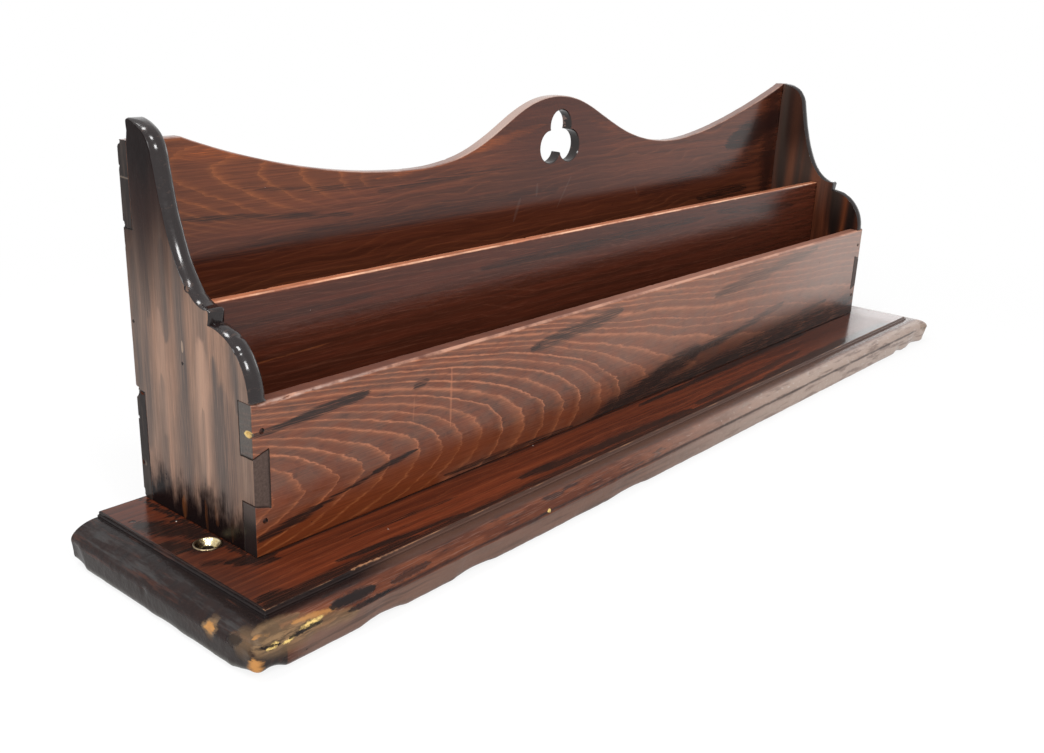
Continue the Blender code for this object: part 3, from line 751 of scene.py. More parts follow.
def side_wastes(outer, inward):
    below = box_floor - OVERRUN
    front_joint = (box_front - OVERRUN, box_front + FRONT_THICK + FIT)
    back_joint = (back_face - FIT, box_rear + OVERRUN)
    sockets = ((front_out[0], front_in[0], below, front_joint),
               (front_out[1], front_in[1], front_top + FIT, front_joint),
               (back_out[0], back_in[0], below, back_joint),
               (back_out[1], back_in[1], box_top + OVERRUN, back_joint))
    wastes = [tail_socket(outer, inward, edge_out, edge_in, limit, low, high)
              for edge_out, edge_in, limit, (low, high) in sockets]
    inner = outer + inward * SIDE_THICK
    groove = inner - inward * HOUSING_DEPTH
    open_side = inner + inward * OVERRUN
    wastes.append(block((min(groove, open_side), divider_front - FIT, below),
                        (max(groove, open_side), divider_rear + FIT, box_floor + DIVIDER_HEIGHT + FIT)))
    return wastes


# Broken places on each board: centre and radii in millimetres from the box's front left foot
CHIPS = {
    "left_side": (((0.3, 91.4, 57.3), (2.6, 2.6, 1.5)), ((0.0, 43.5, 116.0), (1.5, 1.6, 2.2)),
                  ((0.2, 92.0, 127.0), (1.2, 1.0, 3.0))),
    "right_side": (((620.0, 91.5, 60.0), (2.0, 1.8, 1.6)),),
    "front_board": (((-0.3, 1.6, 58.9), (1.7, 2.4, 1.5)), ((19.5, -0.6, 72.0), (3.6, 1.5, 1.2)),
                    ((34.0, -0.7, 72.2), (2.4, 1.4, 1.1)), ((157.0, -0.5, 72.3), (1.5, 1.3, 1.0)),
                    ((173.0, -0.5, 72.4), (1.8, 1.4, 1.0)), ((619.8, -0.5, 44.0), (1.5, 1.3, 2.0))),
    "back_board": (((0.2, 92.4, 175.2), (3.2, 3.6, 3.4)), ((-0.3, 92.4, 163.2), (2.6, 1.7, 1.5)),
                   ((-0.2, 91.6, 136.6), (2.2, 1.8, 1.9)), ((-0.2, 92.6, 56.4), (2.8, 3.4, 3.4)),
                   ((-0.4, 86.3, 56.2), (1.6, 1.4, 1.3)), ((-0.3, 92.2, 42.4), (2.4, 1.9, 1.2)),
                   ((-0.4, 89.5, 19.0), (1.1, 1.2, 1.5)), ((-0.2, 93.0, 1.0), (3.0, 3.4, 4.2))),
}


def chips(name):
    """A pebble to subtract for each broken place of a board."""
    corner = Vector((box_left, box_front, BASE_THICK))
    return [pebble(corner + Vector(centre) / 1000, radii, seed + 1) for seed, (centre, radii) in
            enumerate(CHIPS[name])]


def make_side(end, seed):
    outer, inward = ends[end]
    inner = outer + inward * SIDE_THICK
    board = make_board(end + "_side_worn", filled(side_outline(), SIDE_MARGIN), "X", min(outer, inner),
                       max(outer, inner), side_shares(inward > 0), Rounding=SCROLL_ROUNDING, Wear=0.00035,
                       Wear_Scale=55.0, Seed=seed, Crown=2.3, Bluntness=1.45)
    return carve(board, side_wastes(outer, inward) + chips(end + "_side"))


left_side = make_side("left", 3.0)
right_side = make_side("right", 8.0)

# %% [markdown]
# ## The front board
#
# A plain board, 72 mm high, with two tails at each end. Its top arris is the most handled edge of
# the rack, and its ends carry the spaces for the sides' pins.

# %% Make the front board
BOARD_ROUNDING = 0.0022
FRONT_MARGIN = 0.0036


def long_board_shares(point):
    x, z = point
    if z < box_floor + 0.0005:
        return JOINT_SHARE, JOINT_SHARE
    if x < box_left + 0.0001 or x > box_right - 0.0001:
        return 0.28, 0.06
    return 1.0, 0.7


front_outline = filled(rectangle(box_left, box_right, box_floor, front_top), FRONT_MARGIN)
front_board = make_board("front_board_worn", front_outline, "Y", box_front, box_front + FRONT_THICK,
                         long_board_shares, Rounding=BOARD_ROUNDING, Wear=0.0003, Wear_Scale=90.0,
                         Seed=21.0)
def tail_board_wastes(row, height, pin_shares, low, high):
    """Pin spaces, holes of the panel pins and chips of the front or the back."""
    wastes = [pin_space(outer, inward, height, pin_shares, low - OVERRUN, high + OVERRUN)
              for outer, inward in ends.values()]
    if row == "back":
        wastes.append(prism(trefoil_outline(), "Y", back_face, box_rear, flare=TREFOIL_FLARE))
    wastes += [pin_hole(facing, head) for board, facing, head in panel_pins if board == row]
    return wastes + chips(row + "_board")


carve(front_board, tail_board_wastes("front", FRONT_HEIGHT, FRONT_PIN_SHARES, box_front,
                                     box_front + FRONT_THICK))

# %% [markdown]
# ## The back board
#
# The top edge starts level at each end, dips, and rises to a crest in the middle, under which a
# trefoil is pierced: three bored holes that run into each other. The trefoil's tool flares at
# both faces, which eases its edge.

# %% Outline of the back board and its trefoil
LEFT_DIP_DROP = 0.0373
RIGHT_DIP_DROP = 0.0368
CREST_DROP = 0.0004
LEFT_FLAT_SHARE = 0.046
LEFT_DIP_SHARE = 0.2875
CREST_SHARE = 0.4955
RIGHT_DIP_SHARE = 0.7190
RIGHT_FLAT_SHARE = 0.012
LEFT_BEND_SHARES = (0.038, 0.106, 0.114, 0.079)
RIGHT_BEND_SHARES = (0.032, 0.085, 0.118, 0.072)
END_SLOPE = 0.38
LOBE_RADIUS = 0.0104
LOBE_SPACING = 0.0193
LOBE_RISE = 0.0131
TREFOIL_DROP = 0.0089
TREFOIL_SHARE = 0.5010
BACK_CURVE_STEPS = 48
LOBE_STEPS = 24


def back_outline():
    """The back seen from the front, as (x, z) pairs."""
    left_end = (box_left, box_floor + back_end_height)
    left_flat = (box_left + BOX_LENGTH * LEFT_FLAT_SHARE, left_end[1])
    left_dip = (box_left + BOX_LENGTH * LEFT_DIP_SHARE, box_top - LEFT_DIP_DROP)
    crest = (box_left + BOX_LENGTH * CREST_SHARE, box_top - CREST_DROP)
    right_dip = (box_left + BOX_LENGTH * RIGHT_DIP_SHARE, box_top - RIGHT_DIP_DROP)
    right_flat = (box_right - BOX_LENGTH * RIGHT_FLAT_SHARE, box_top)
    at_left_end, left_outer, left_inner, crest_left = (BOX_LENGTH * s for s in LEFT_BEND_SHARES)
    at_right_end, right_outer, right_inner, crest_right = (BOX_LENGTH * s for s in RIGHT_BEND_SHARES)
    steps = BACK_CURVE_STEPS
    outline = [(box_left, box_floor), (box_right, box_floor), (box_right, box_top)]
    outline += bend(right_flat, (right_flat[0] - at_right_end, box_top - at_right_end * END_SLOPE),
                    (right_dip[0] + right_outer, right_dip[1]), right_dip, steps)
    outline += bend(right_dip, (right_dip[0] - right_inner, right_dip[1]),
                    (crest[0] + crest_right, crest[1]), crest, steps)
    outline += bend(crest, (crest[0] - crest_left, crest[1]),
                    (left_dip[0] + left_inner, left_dip[1]), left_dip, steps)
    outline += bend(left_dip, (left_dip[0] - left_outer, left_dip[1]),
                    (left_flat[0] + at_left_end, left_flat[1] - at_left_end * END_SLOPE), left_flat, steps)
    outline += [left_flat, left_end]
    return outline


def crossing(first, second, middle):
    """Where two lobes' circles cross, on the side away from the trefoil's middle."""
    a, b = Vector(first), Vector(second)
    half = (b - a) / 2
    outward = Vector((-half.y, half.x)).normalized()
    if outward.dot(a + half - Vector(middle)) < 0:
        outward = -outward
    return a + half + outward * math.sqrt(LOBE_RADIUS ** 2 - half.length_squared)


def trefoil_outline():
    """Three lobes, each an arc from one cusp to the next."""
    middle_x = box_left + BOX_LENGTH * TREFOIL_SHARE
    top_lobe = box_top - CREST_DROP - TREFOIL_DROP - LOBE_RADIUS
    low_lobes = top_lobe - LOBE_RISE
    lobes = [(middle_x, top_lobe), (middle_x - LOBE_SPACING / 2, low_lobes),
             (middle_x + LOBE_SPACING / 2, low_lobes)]
    middle = (middle_x, low_lobes + LOBE_RISE / 3)
    outline = []
    for i, lobe in enumerate(lobes):
        start = crossing(lobes[i - 1], lobe, middle)
        end = crossing(lobe, lobes[(i + 1) % 3], middle)
        first = math.degrees(math.atan2(start.y - lobe[1], start.x - lobe[0]))
        last = math.degrees(math.atan2(end.y - lobe[1], end.x - lobe[0]))
        if last < first:
            last += 360
        outline += arc(lobe, (LOBE_RADIUS, LOBE_RADIUS), first, last, LOBE_STEPS)[:-1]
    return outline


# %% Make the back board
BACK_MARGIN = 0.0024
TREFOIL_FLARE = 0.0005


def back_shares(point):
    x, z = point
    if z < box_floor + 0.0005:
        return JOINT_SHARE, JOINT_SHARE
    if x < box_left + 0.0001 or x > box_right - 0.0001:
        return 0.05, 0.16
    if x < box_left + SIDE_THICK or x > box_right - SIDE_THICK:
        return 0.05, 0.35
    return 0.6, 0.5


back_board = make_board("back_board_worn", filled(back_outline(), BACK_MARGIN), "Y", back_face, box_rear,
                        back_shares, Rounding=BOARD_ROUNDING, Wear=0.0003, Wear_Scale=60.0, Seed=34.0)
carve(back_board, tail_board_wastes("back", back_end_height, BACK_PIN_SHARES, back_face, box_rear))

# %% [markdown]
# ## The divider
#
# A thin board that stands in the two housings. Only its top edge and a strip of its face show.

# %% Make the divider
DIVIDER_MARGIN = 0.0026
tongue = HOUSING_DEPTH - FIT
divider_left = box_left + SIDE_THICK - tongue
divider_right = box_right - SIDE_THICK + tongue


def divider_shares(point):
    x, z = point
    if z < box_floor + 0.0005 or x < divider_left + 0.0001 or x > divider_right - 0.0001:
        return JOINT_SHARE, JOINT_SHARE
    return 0.7, 0.6


divider_corners = rectangle(divider_left, divider_right, box_floor, box_floor + DIVIDER_HEIGHT)
divider = make_board("divider_worn", filled(divider_corners, DIVIDER_MARGIN), "Y", divider_front,
                     divider_rear, divider_shares, Rounding=BOARD_ROUNDING, Wear=0.00025, Wear_Scale=70.0,
                     Seed=47.0)

# %% [markdown]
# ## The base board
#
# The base is a wide board with a moulding worked on its front and its two ends: a small step, a
# flat fillet, a second step and a quarter-round that falls to a nose, then an upright edge with
# a rounded foot. The moulding is widest at the right end.
#
# Mesh code lofts it. Stations go round the board. Each has a point on the edge of the flat field
# and one on the outside, and the moulding's section is stretched between them, so the mitres at
# the corners come by themselves. Noise and a list of bruises then push points inwards, never
# outwards, so the board stays within its size.

# %% Section of the moulding
FIELD_STEP = 0.0014
FILLET_WIDTH = 0.0012
FILLET_STEP = 0.0012
NOSE_DROP = 0.0112
CORNER_RADIUS = 0.0040
CORNER_STEPS = 6
FOOT_RADIUS = 0.0034
STATION_SPACING = 0.0013
EASE = 0.00035
field_left = base_left + LEFT_MOULDING
field_right = base_right - RIGHT_MOULDING
field_front = base_front + FRONT_MOULDING


def moulding_section(width):
    """From the field down to the nose, as (share of the width from the outside, height) pairs."""
    step_foot = BASE_THICK - FIELD_STEP
    ovolo_top = step_foot - FILLET_STEP
    nose = BASE_THICK - NOSE_DROP
    reach = width - FILLET_WIDTH
    points = [(width, BASE_THICK), (width - 0.2 * EASE, BASE_THICK - 0.2 * EASE),
              (width - 0.7 * EASE, BASE_THICK - EASE), (width - 0.8 * EASE, step_foot + 0.4 * EASE),
              (width - EASE, step_foot), (reach + EASE, step_foot - 0.0001),
              (reach + 0.3 * EASE, step_foot - EASE), (reach + 0.0001, ovolo_top + 0.4 * EASE)]
    points += arc((reach, nose), (reach, ovolo_top - nose), 90, 180, 16)
    return [(inset / width, height) for inset, height in points]


def upright_edge():
    """From the nose down and round the foot, as (inset from the outside, height) pairs."""
    nose = BASE_THICK - NOSE_DROP
    points = [(0.0, nose + (FOOT_RADIUS - nose) * step / 6) for step in range(1, 7)]
    points += arc((FOOT_RADIUS, FOOT_RADIUS), (FOOT_RADIUS, FOOT_RADIUS), 180, 270, 5)[1:]
    return points


# %% Stations round the base board
def spaced(start, end):
    """Points from start towards end at the station spacing, without the last one."""
    steps = max(1, math.ceil(math.dist(start, end) / STATION_SPACING))
    return [(start[0] + (end[0] - start[0]) * i / steps, start[1] + (end[1] - start[1]) * i / steps)
            for i in range(steps)]


def round_stations(field, middle, start, first_width, last_width):
    """Stations round one front corner, from a start angle in degrees."""
    rows = []
    for step in range(CORNER_STEPS + 1):
        angle = math.radians(start + 90 * step / CORNER_STEPS)
        c, s = math.cos(angle), math.sin(angle)
        outer = (middle + CORNER_RADIUS * c, base_front + CORNER_RADIUS + CORNER_RADIUS * s)
        rows.append((field, outer, (-c, -s), first_width
                     + (last_width - first_width) * step / CORNER_STEPS))
    return rows


def stations():
    """Field point, outer point, inward direction and moulding width, anticlockwise from above."""
    rows = []
    radius = CORNER_RADIUS
    left_corner, right_corner = (field_left, field_front), (field_right, field_front)
    for x, y in spaced((base_left, base_rear), (base_left, base_front + radius)):
        rows.append(((field_left, max(y, field_front)), (x, y), (1, 0), LEFT_MOULDING))
    rows[0] = (rows[0][0], rows[0][1], (1, -1), LEFT_MOULDING)
    rows += round_stations(left_corner, base_left + radius, 180, LEFT_MOULDING, FRONT_MOULDING)
    for x, y in spaced((base_left + radius, base_front), (base_right - radius, base_front))[1:]:
        rows.append(((min(max(x, field_left), field_right), field_front), (x, y), (0, 1), FRONT_MOULDING))
    rows += round_stations(right_corner, base_right - radius, 270, FRONT_MOULDING, RIGHT_MOULDING)
    for x, y in spaced((base_right, base_front + radius), (base_right, base_rear))[1:]:
        rows.append(((field_right, max(y, field_front)), (x, y), (-1, 0), RIGHT_MOULDING))
    rows.append(((field_right, base_rear), (base_right, base_rear), (-1, -1), RIGHT_MOULDING))
    for x, y in spaced((field_right, base_rear), (field_left, base_rear))[1:]:
        rows.append(((x, y), (x, y), (0, -1), FRONT_MOULDING))
    return rows


def underside_point(field, outer, inward):
    """A point of the flat underside, well inside the rounded foot."""
    if field == outer or abs(inward[0]) + abs(inward[1]) > 1.9:
        return [o + i * (FOOT_RADIUS + 0.006) for o, i in zip(outer, inward)]
    return [o + (f - o) * 0.66 for o, f in zip(outer, field)]


def loft_base():
    """The base as rings of points, one ring for each level of the section."""
    shape = bmesh.new()
    columns = []
    for field, outer, inward, width in stations():
        column = []
        for share, height in moulding_section(width):
            x = outer[0] + (field[0] - outer[0]) * share
            y = outer[1] + (field[1] - outer[1]) * share
            column.append(shape.verts.new((x, y, height)))
        for inset, height in upright_edge():
            column.append(shape.verts.new((outer[0] + inward[0] * inset, outer[1] + inward[1] * inset,
                                           height)))
        column.append(shape.verts.new((*underside_point(field, outer, inward), 0.0)))
        columns.append(column)
    for left, right in zip(columns, columns[1:] + columns[:1]):
        for k in range(len(left) - 1):
            shape.faces.new((left[k], left[k + 1], right[k + 1], right[k]))
    shape.faces.new([column[0] for column in columns])
    shape.faces.new([column[-1] for column in reversed(columns)])
    mesh = bpy.data.meshes.new("base_board_worn")
    shape.to_mesh(mesh)
    shape.free()
    return tidy_mesh(mesh)


# %% Wear of the base board
# Bruises and broken places: (x, y, z) in metres, radius and depth in millimetres
BASE_BRUISES = (
    ((base_left, base_front, 0.0), 17.0, 3.0),
    ((base_left, base_front, 0.0140), 5.0, 1.0),
    ((base_left + 0.0110, base_front, 0.0), 7.0, 1.0),
    ((base_left + 0.0700, base_front, 0.0), 14.0, 1.4),
    ((base_left + 0.1300, base_front, 0.0), 16.0, 1.2),
    ((base_left + 0.2600, base_front, 0.0), 20.0, 1.0),
    ((base_left, base_front + 0.0620, 0.0), 9.0, 0.4),
    ((base_left, base_rear, 0.0020), 13.0, 2.2),
    ((base_left + 0.0150, base_front, 0.0110), 3.5, 0.7),
    ((base_left + 0.0300, base_front, 0.0090), 4.0, 0.6),
    ((base_left + 0.0460, base_front, 0.0120), 5.0, 0.8),
    ((base_left, base_front + 0.0300, 0.0110), 3.0, 0.4),
    ((base_left, base_front + 0.0800, 0.0110), 2.5, 0.4),
    ((base_right, base_front, 0.0), 12.0, 3.2),
    ((base_right - 0.0300, base_front, 0.0), 16.0, 1.8),
    ((base_right - 0.0100, base_front, 0.0110), 3.0, 0.5),
    ((base_right - 0.0620, base_front, 0.0), 10.0, 1.4),
)


def into_board(centre):
    """The direction in which a knock at the edge presses the wood."""
    x, y, z = centre
    return Vector(((x == base_left) - (x == base_right), (y == base_front) - (y == base_rear),
                   0.9 * (z < 0.003))).normalized()


LONG_WAVE_SCALE = 45
RIPPLE_SCALE = 170
GRIT_SCALE = 520
RAGGED_SCALE = 180
WORN_BAND = 0.0035
FOOT_BAND_HEIGHT = 0.0012
FOOT_WEAR = 0.30
NOSE_WEAR = 0.22
REAR_BAND = 0.0005
REAR_ENDS = 0.02


def wear_base(mesh):
    """Push points inwards: a little everywhere, more along the nose and the foot."""
    shape = bmesh.new()
    shape.from_mesh(mesh)
    shape.normal_update()
    nose = BASE_THICK - NOSE_DROP
    bruises = [(Vector(centre), radius, into_board(centre) * depth) for centre, radius,
               depth in BASE_BRUISES]
    flat = {vert for face in shape.faces if len(face.verts) > 4 for vert in face.verts}
    for vert in shape.verts:
        place = vert.co.copy()
        at_rear = place.y > base_rear - REAR_BAND
        if vert in flat or at_rear and base_left + REAR_ENDS < place.x < base_right - REAR_ENDS:
            continue
        long_wave = noise.noise(place * LONG_WAVE_SCALE + Vector((3.0, 0, 0)))
        ripple = noise.noise(place * RIPPLE_SCALE + Vector((0, 8.0, 0)))
        grit = noise.noise(place * GRIT_SCALE + Vector((0, 0, 5.0)))
        low = max(0.0, 1 - abs(place.z - FOOT_BAND_HEIGHT) / WORN_BAND)
        at_nose = max(0.0, 1 - abs(place.z - nose) / WORN_BAND)
        push = 0.05 + 0.05 * ripple + 0.02 * grit
        uneven = max(0.0, 0.35 + 0.8 * long_wave + 0.35 * ripple + 0.1 * grit)
        push += (low * FOOT_WEAR + at_nose * NOSE_WEAR) * uneven
        pressed = Vector((0.0, 0.0, 0.0))
        for centre, radius, direction in bruises:
            gap = (place - centre).length * 1000 / radius
            gap += 0.08 * noise.noise(place * RAGGED_SCALE)
            if gap < 1:
                pressed += direction * (1 - gap * gap) ** 1.2
        if at_rear:
            pressed.y, push = 0.0, 0.0
        vert.co = place - vert.normal * max(0.0, push) / 1000 + pressed / 1000
        vert.co.z = max(vert.co.z, 0.0)
    bmesh.ops.triangulate(shape, faces=[face for face in shape.faces if len(face.verts) > 4])
    shape.to_mesh(mesh)
    shape.free()
    return mesh


base_board = placed(wear_base(loft_base()), "base_board_worn")

# %% [markdown]
# ## Brass cups and iron fasteners
#
# The rack was screwed down through two turned brass cups let into the base. Each is one ring of
# metal: a thin rim, a conical seat and a short neck round the hole. Steel screws hold the box on its
# base from below, and panel pins hold the tails. One small tree sets out a fastener at every
# point of a mesh, because the same pin or screw comes again and again.

# %% Cup, screw and pin shapes
CUP_RADIUS = 0.0068
CUP_RIM_PROUD = 0.0003
CUP_WALL = 0.0008
CUP_BODY_DEPTH = 0.0018
CUP_DEPTH = 0.0050
CUP_HOLE_RADIUS = 0.0024
CUP_SIDE_GAP = 0.0005
CUP_SETBACK_SHARE = 0.298
SCREW_RADIUS = 0.0014
SCREW_HEAD_RADIUS = 0.0030
SCREW_HEAD_LENGTH = 0.0019
SCREW_RIM = 0.0002
SCREW_GRIP = 0.0120
SCREW_POINT = 0.0030
SCREW_SUNK = 0.0006
SLOT_WIDTH = 0.0007
SLOT_DEPTH = 0.0008
LONG_SCREW_SHARES = (0.22, 0.78)
SIDE_SCREW_SHARE = 0.27

cup_foot_radius = CUP_HOLE_RADIUS + CUP_WALL
cup_y = box_front + BOX_DEPTH * CUP_SETBACK_SHARE
cup_places = {end: Matrix.Translation((outer - inward * (CUP_RADIUS + CUP_SIDE_GAP), cup_y, BASE_THICK))
              for end, (outer, inward) in ends.items()}


def cup_mesh():
    """A screw cup: a rim that rolls over, a shallow conical seat with a fine step and a neck."""
    r = CUP_RADIUS
    seat = [(r - 0.0014 - 0.0023 * t, -0.0002 - 0.0018 * t) for t in (0.0, 0.25, 0.5, 0.75, 1.0)]
    profile = [(r - 0.00015, 0.0), (r - 0.00035, CUP_RIM_PROUD * 0.7), (r - 0.0006, CUP_RIM_PROUD),
               (r - 0.0009, CUP_RIM_PROUD * 0.9), (r - 0.0011, CUP_RIM_PROUD * 0.5)]
    profile += [(radius, height) for radius, height in seat]
    profile += [(CUP_HOLE_RADIUS + 0.0002, -0.0024), (CUP_HOLE_RADIUS, -0.0028),
                (CUP_HOLE_RADIUS, -CUP_DEPTH + 0.0001), (CUP_HOLE_RADIUS + 0.0001, -CUP_DEPTH),
                (cup_foot_radius, -CUP_DEPTH), (r - 0.0001, -CUP_BODY_DEPTH - 0.0001), (r, -CUP_BODY_DEPTH)]
    return turned(profile, 72, ring=True)


def cup_recess():
    return turned([(0, OVERRUN), (CUP_RADIUS + 0.0006, OVERRUN), (CUP_RADIUS + 0.00015, -0.00025),
                   (CUP_RADIUS + 0.00015, -CUP_BODY_DEPTH - FIT), (cup_foot_radius + FIT, -CUP_DEPTH - FIT),
                   (CUP_HOLE_RADIUS, -CUP_DEPTH - FIT), (CUP_HOLE_RADIUS, -BASE_THICK - OVERRUN),
                   (0, -BASE_THICK - OVERRUN)], 72)


def screw_places():
    """Where each screw's head lies in the base's underside."""
    lines = (box_front + FRONT_THICK / 2, back_face + BACK_THICK / 2)
    spots = [(box_left + BOX_LENGTH * share, y) for y in lines for share in LONG_SCREW_SHARES]
    spots += [(outer + inward * SIDE_THICK / 2, box_front + BOX_DEPTH * SIDE_SCREW_SHARE)
              for outer, inward in ends.values()]
    return [Vector((x, y, SCREW_SUNK)) for x, y in spots]


def screw_profile(clearance, lead):
    length = BASE_THICK - SCREW_SUNK + FIT + SCREW_GRIP
    return [(0, lead), (SCREW_HEAD_RADIUS + clearance, lead),
            (SCREW_HEAD_RADIUS + clearance, -SCREW_RIM - clearance),
            (SCREW_RADIUS + clearance, -SCREW_HEAD_LENGTH - clearance),
            (SCREW_RADIUS + clearance, -length + SCREW_POINT), (0, -length)]


upside_down = Matrix.Rotation(math.pi, 4, "X")
wastes = [moved(cup_recess(), place) for place in cup_places.values()]
wastes += [moved(turned(screw_profile(FIT, OVERRUN), 24), Matrix.Translation(spot) @ upside_down)
           for spot in screw_places()]
carve(base_board, wastes)
cups = {end: placed(moved(cup_mesh(), place), end + "_screw_cup_turned") for end,
        place in cup_places.items()}
print("cups at", [tuple(round(v, 4) for v in place.translation) for place in cup_places.values()])


# %% The tree that sets out fasteners
def fastener_tree():
    tree, given, result = new_group("set_out_fasteners", "GeometryNodeTree", (
        ("Places", "Geometry", None), ("Fastener", "Object", None), ("Tilt", "Float", 0.03),
        ("Spin", "Float", math.pi), ("Seed", "Int", 1), ("Finish", "Material", None)),
        (("Fasteners", "Geometry"),))
    shape = made("GeometryNodeObjectInfo", {"Object": given["Fastener"]}, "Geometry")
    facing = node(tree, "GeometryNodeInputNamedAttribute", {"Name": "turn"}, data_type="FLOAT_VECTOR")
    lean = calc("MULTIPLY", given["Tilt"], -1.0)
    low = joined(X=lean, Y=lean, Z=calc("MULTIPLY", given["Spin"], -1.0))
    high = joined(X=given["Tilt"], Y=given["Tilt"], Z=given["Spin"])
    chance = node(tree, "FunctionNodeRandomValue", {"Min": low, "Max": high,
                  "Seed": given["Seed"]}, data_type="FLOAT_VECTOR")
    put = made("GeometryNodeInstanceOnPoints", {"Points": given["Places"], "Instance": shape,
                                                "Rotation": facing.outputs["Attribute"]})
    spun = made("GeometryNodeRotateInstances", {"Instances": put, "Rotation": chance.outputs["Value"]})
    finish_tree(spun, given, result["Fasteners"])
    return tree


set_out_fasteners = fastener_tree()


def set_out(name, shape, spots, seed, tilt):
    """One mesh with a fastener at each (place, turn about X) of spots."""
    pattern = placed(shape, name + "_pattern")
    points = bpy.data.meshes.new(name + "_places")
    points.from_pydata([place for place, angle in spots], [], [])
    facing = points.attributes.new("turn", "FLOAT_VECTOR", "POINT")
    for i, (place, angle) in enumerate(spots):
        facing.data[i].vector = (angle, 0, 0)
    blank = placed(points, name + "_places")
    modifier = blank.modifiers.new("set out", "NODES")
    modifier.node_group = set_out_fasteners
    set_inputs(modifier, Fastener=pattern, Tilt=tilt, Seed=seed)
    mesh = evaluated_mesh(blank)
    mesh.name = name
    bpy.data.objects.remove(blank, do_unlink=True)
    bpy.data.objects.remove(pattern, do_unlink=True)
    return placed(mesh, name)


# %% Panel pins and base screws
def pin_mesh():
    """A panel pin: a small domed head, a neck and a shank that ends in a point."""
    return turned([(0, 0), (PIN_HEAD_RADIUS * 0.5, -0.00003), (PIN_HEAD_RADIUS * 0.85, -0.0001),
                   (PIN_HEAD_RADIUS, -0.00025), (PIN_HEAD_RADIUS * 0.97, -0.0005),
                   (PIN_RADIUS, -PIN_HEAD_LENGTH), (PIN_RADIUS, -PIN_LENGTH + PIN_POINT),
                   (0, -PIN_LENGTH)], 20)


def screw_mesh():
    """A slotted, countersunk screw."""
    head = placed(turned([(0, 0.0), (SCREW_HEAD_RADIUS - 0.0002, 0.0)] + screw_profile(0, 0)[1:], 40),
                  "screw")
    return carve(head, [block((-0.01, -SLOT_WIDTH / 2, -SLOT_DEPTH), (0.01, SLOT_WIDTH / 2, OVERRUN))]).data


pin_spots = [(head, -facing * math.pi / 2) for row, facing, head in panel_pins]
pins = set_out("panel_pins", pin_mesh(), pin_spots, 5, 0.0)
screws = set_out("base_screws", screw_mesh(), [(spot, math.pi) for spot in screw_places()], 9, 0.0)
for leftover in [thing for thing in scene.objects if thing.name.startswith("screw")
                 and thing.type == "MESH"]:
    bpy.data.objects.remove(leftover, do_unlink=True)
print("panel pins:", len(pins.data.polygons), "faces, base screws:", len(screws.data.polygons), "faces")

# %% [markdown]
# ## The finishes
#
# Everything but the metal is one story: pine, stained a dark red-brown to look like rosewood,
# with black figure brushed on, then varnished until it shines. What the eye reads as the wood is
# really four things: growth rings, fine fibres, stain that lies in streaks and pools, and wear.
#
# Each of these is a shader group with named inputs, built once and placed in every finish with
# its own values. All patterns are measured in millimetres from the box's front left foot, so a
# mark can be put where a ruler says.

# %% Helpers to mix finishes
def step_between(value, low, high):
    """0 below low, 1 above high and a smooth rise between. High may be the smaller one."""
    return made("ShaderNodeMapRange", {"Value": value, "From Min": low, "From Max": high},
                interpolation_type="SMOOTHSTEP")


def stretched_noise(vector, size, seed, detail, roughness=0.5, output="Fac"):
    """Noise whose blobs are about size millimetres along each axis."""
    scaled = vector_calc("MULTIPLY", vector, tuple(1 / s for s in size))
    return made("ShaderNodeTexNoise", {"Vector": scaled, "W": seed, "Scale": 1.0, "Detail": detail,
                                       "Roughness": roughness}, output, noise_dimensions="4D")


def split(vector):
    return node(vector.id_data, "ShaderNodeSeparateXYZ", {0: vector}).outputs


# %% [markdown]
# ### Growth rings
#
# A flat-sawn board cuts the rings of the tree at a glancing angle, so they show as nested flames
# along the middle of the board and as straight lines near its edges. Each ring ends in a hard
# line of late wood, which takes less stain and stays pale.
#
# The group states that as one number that grows from ring to ring: it leans along the board and
# bows away from an axis. Noise makes it wander and crowds some rings together. A finer noise,
# stretched along the grain, tears the lines. A wave texture would be shorter to write, but it has
# no axis to place.

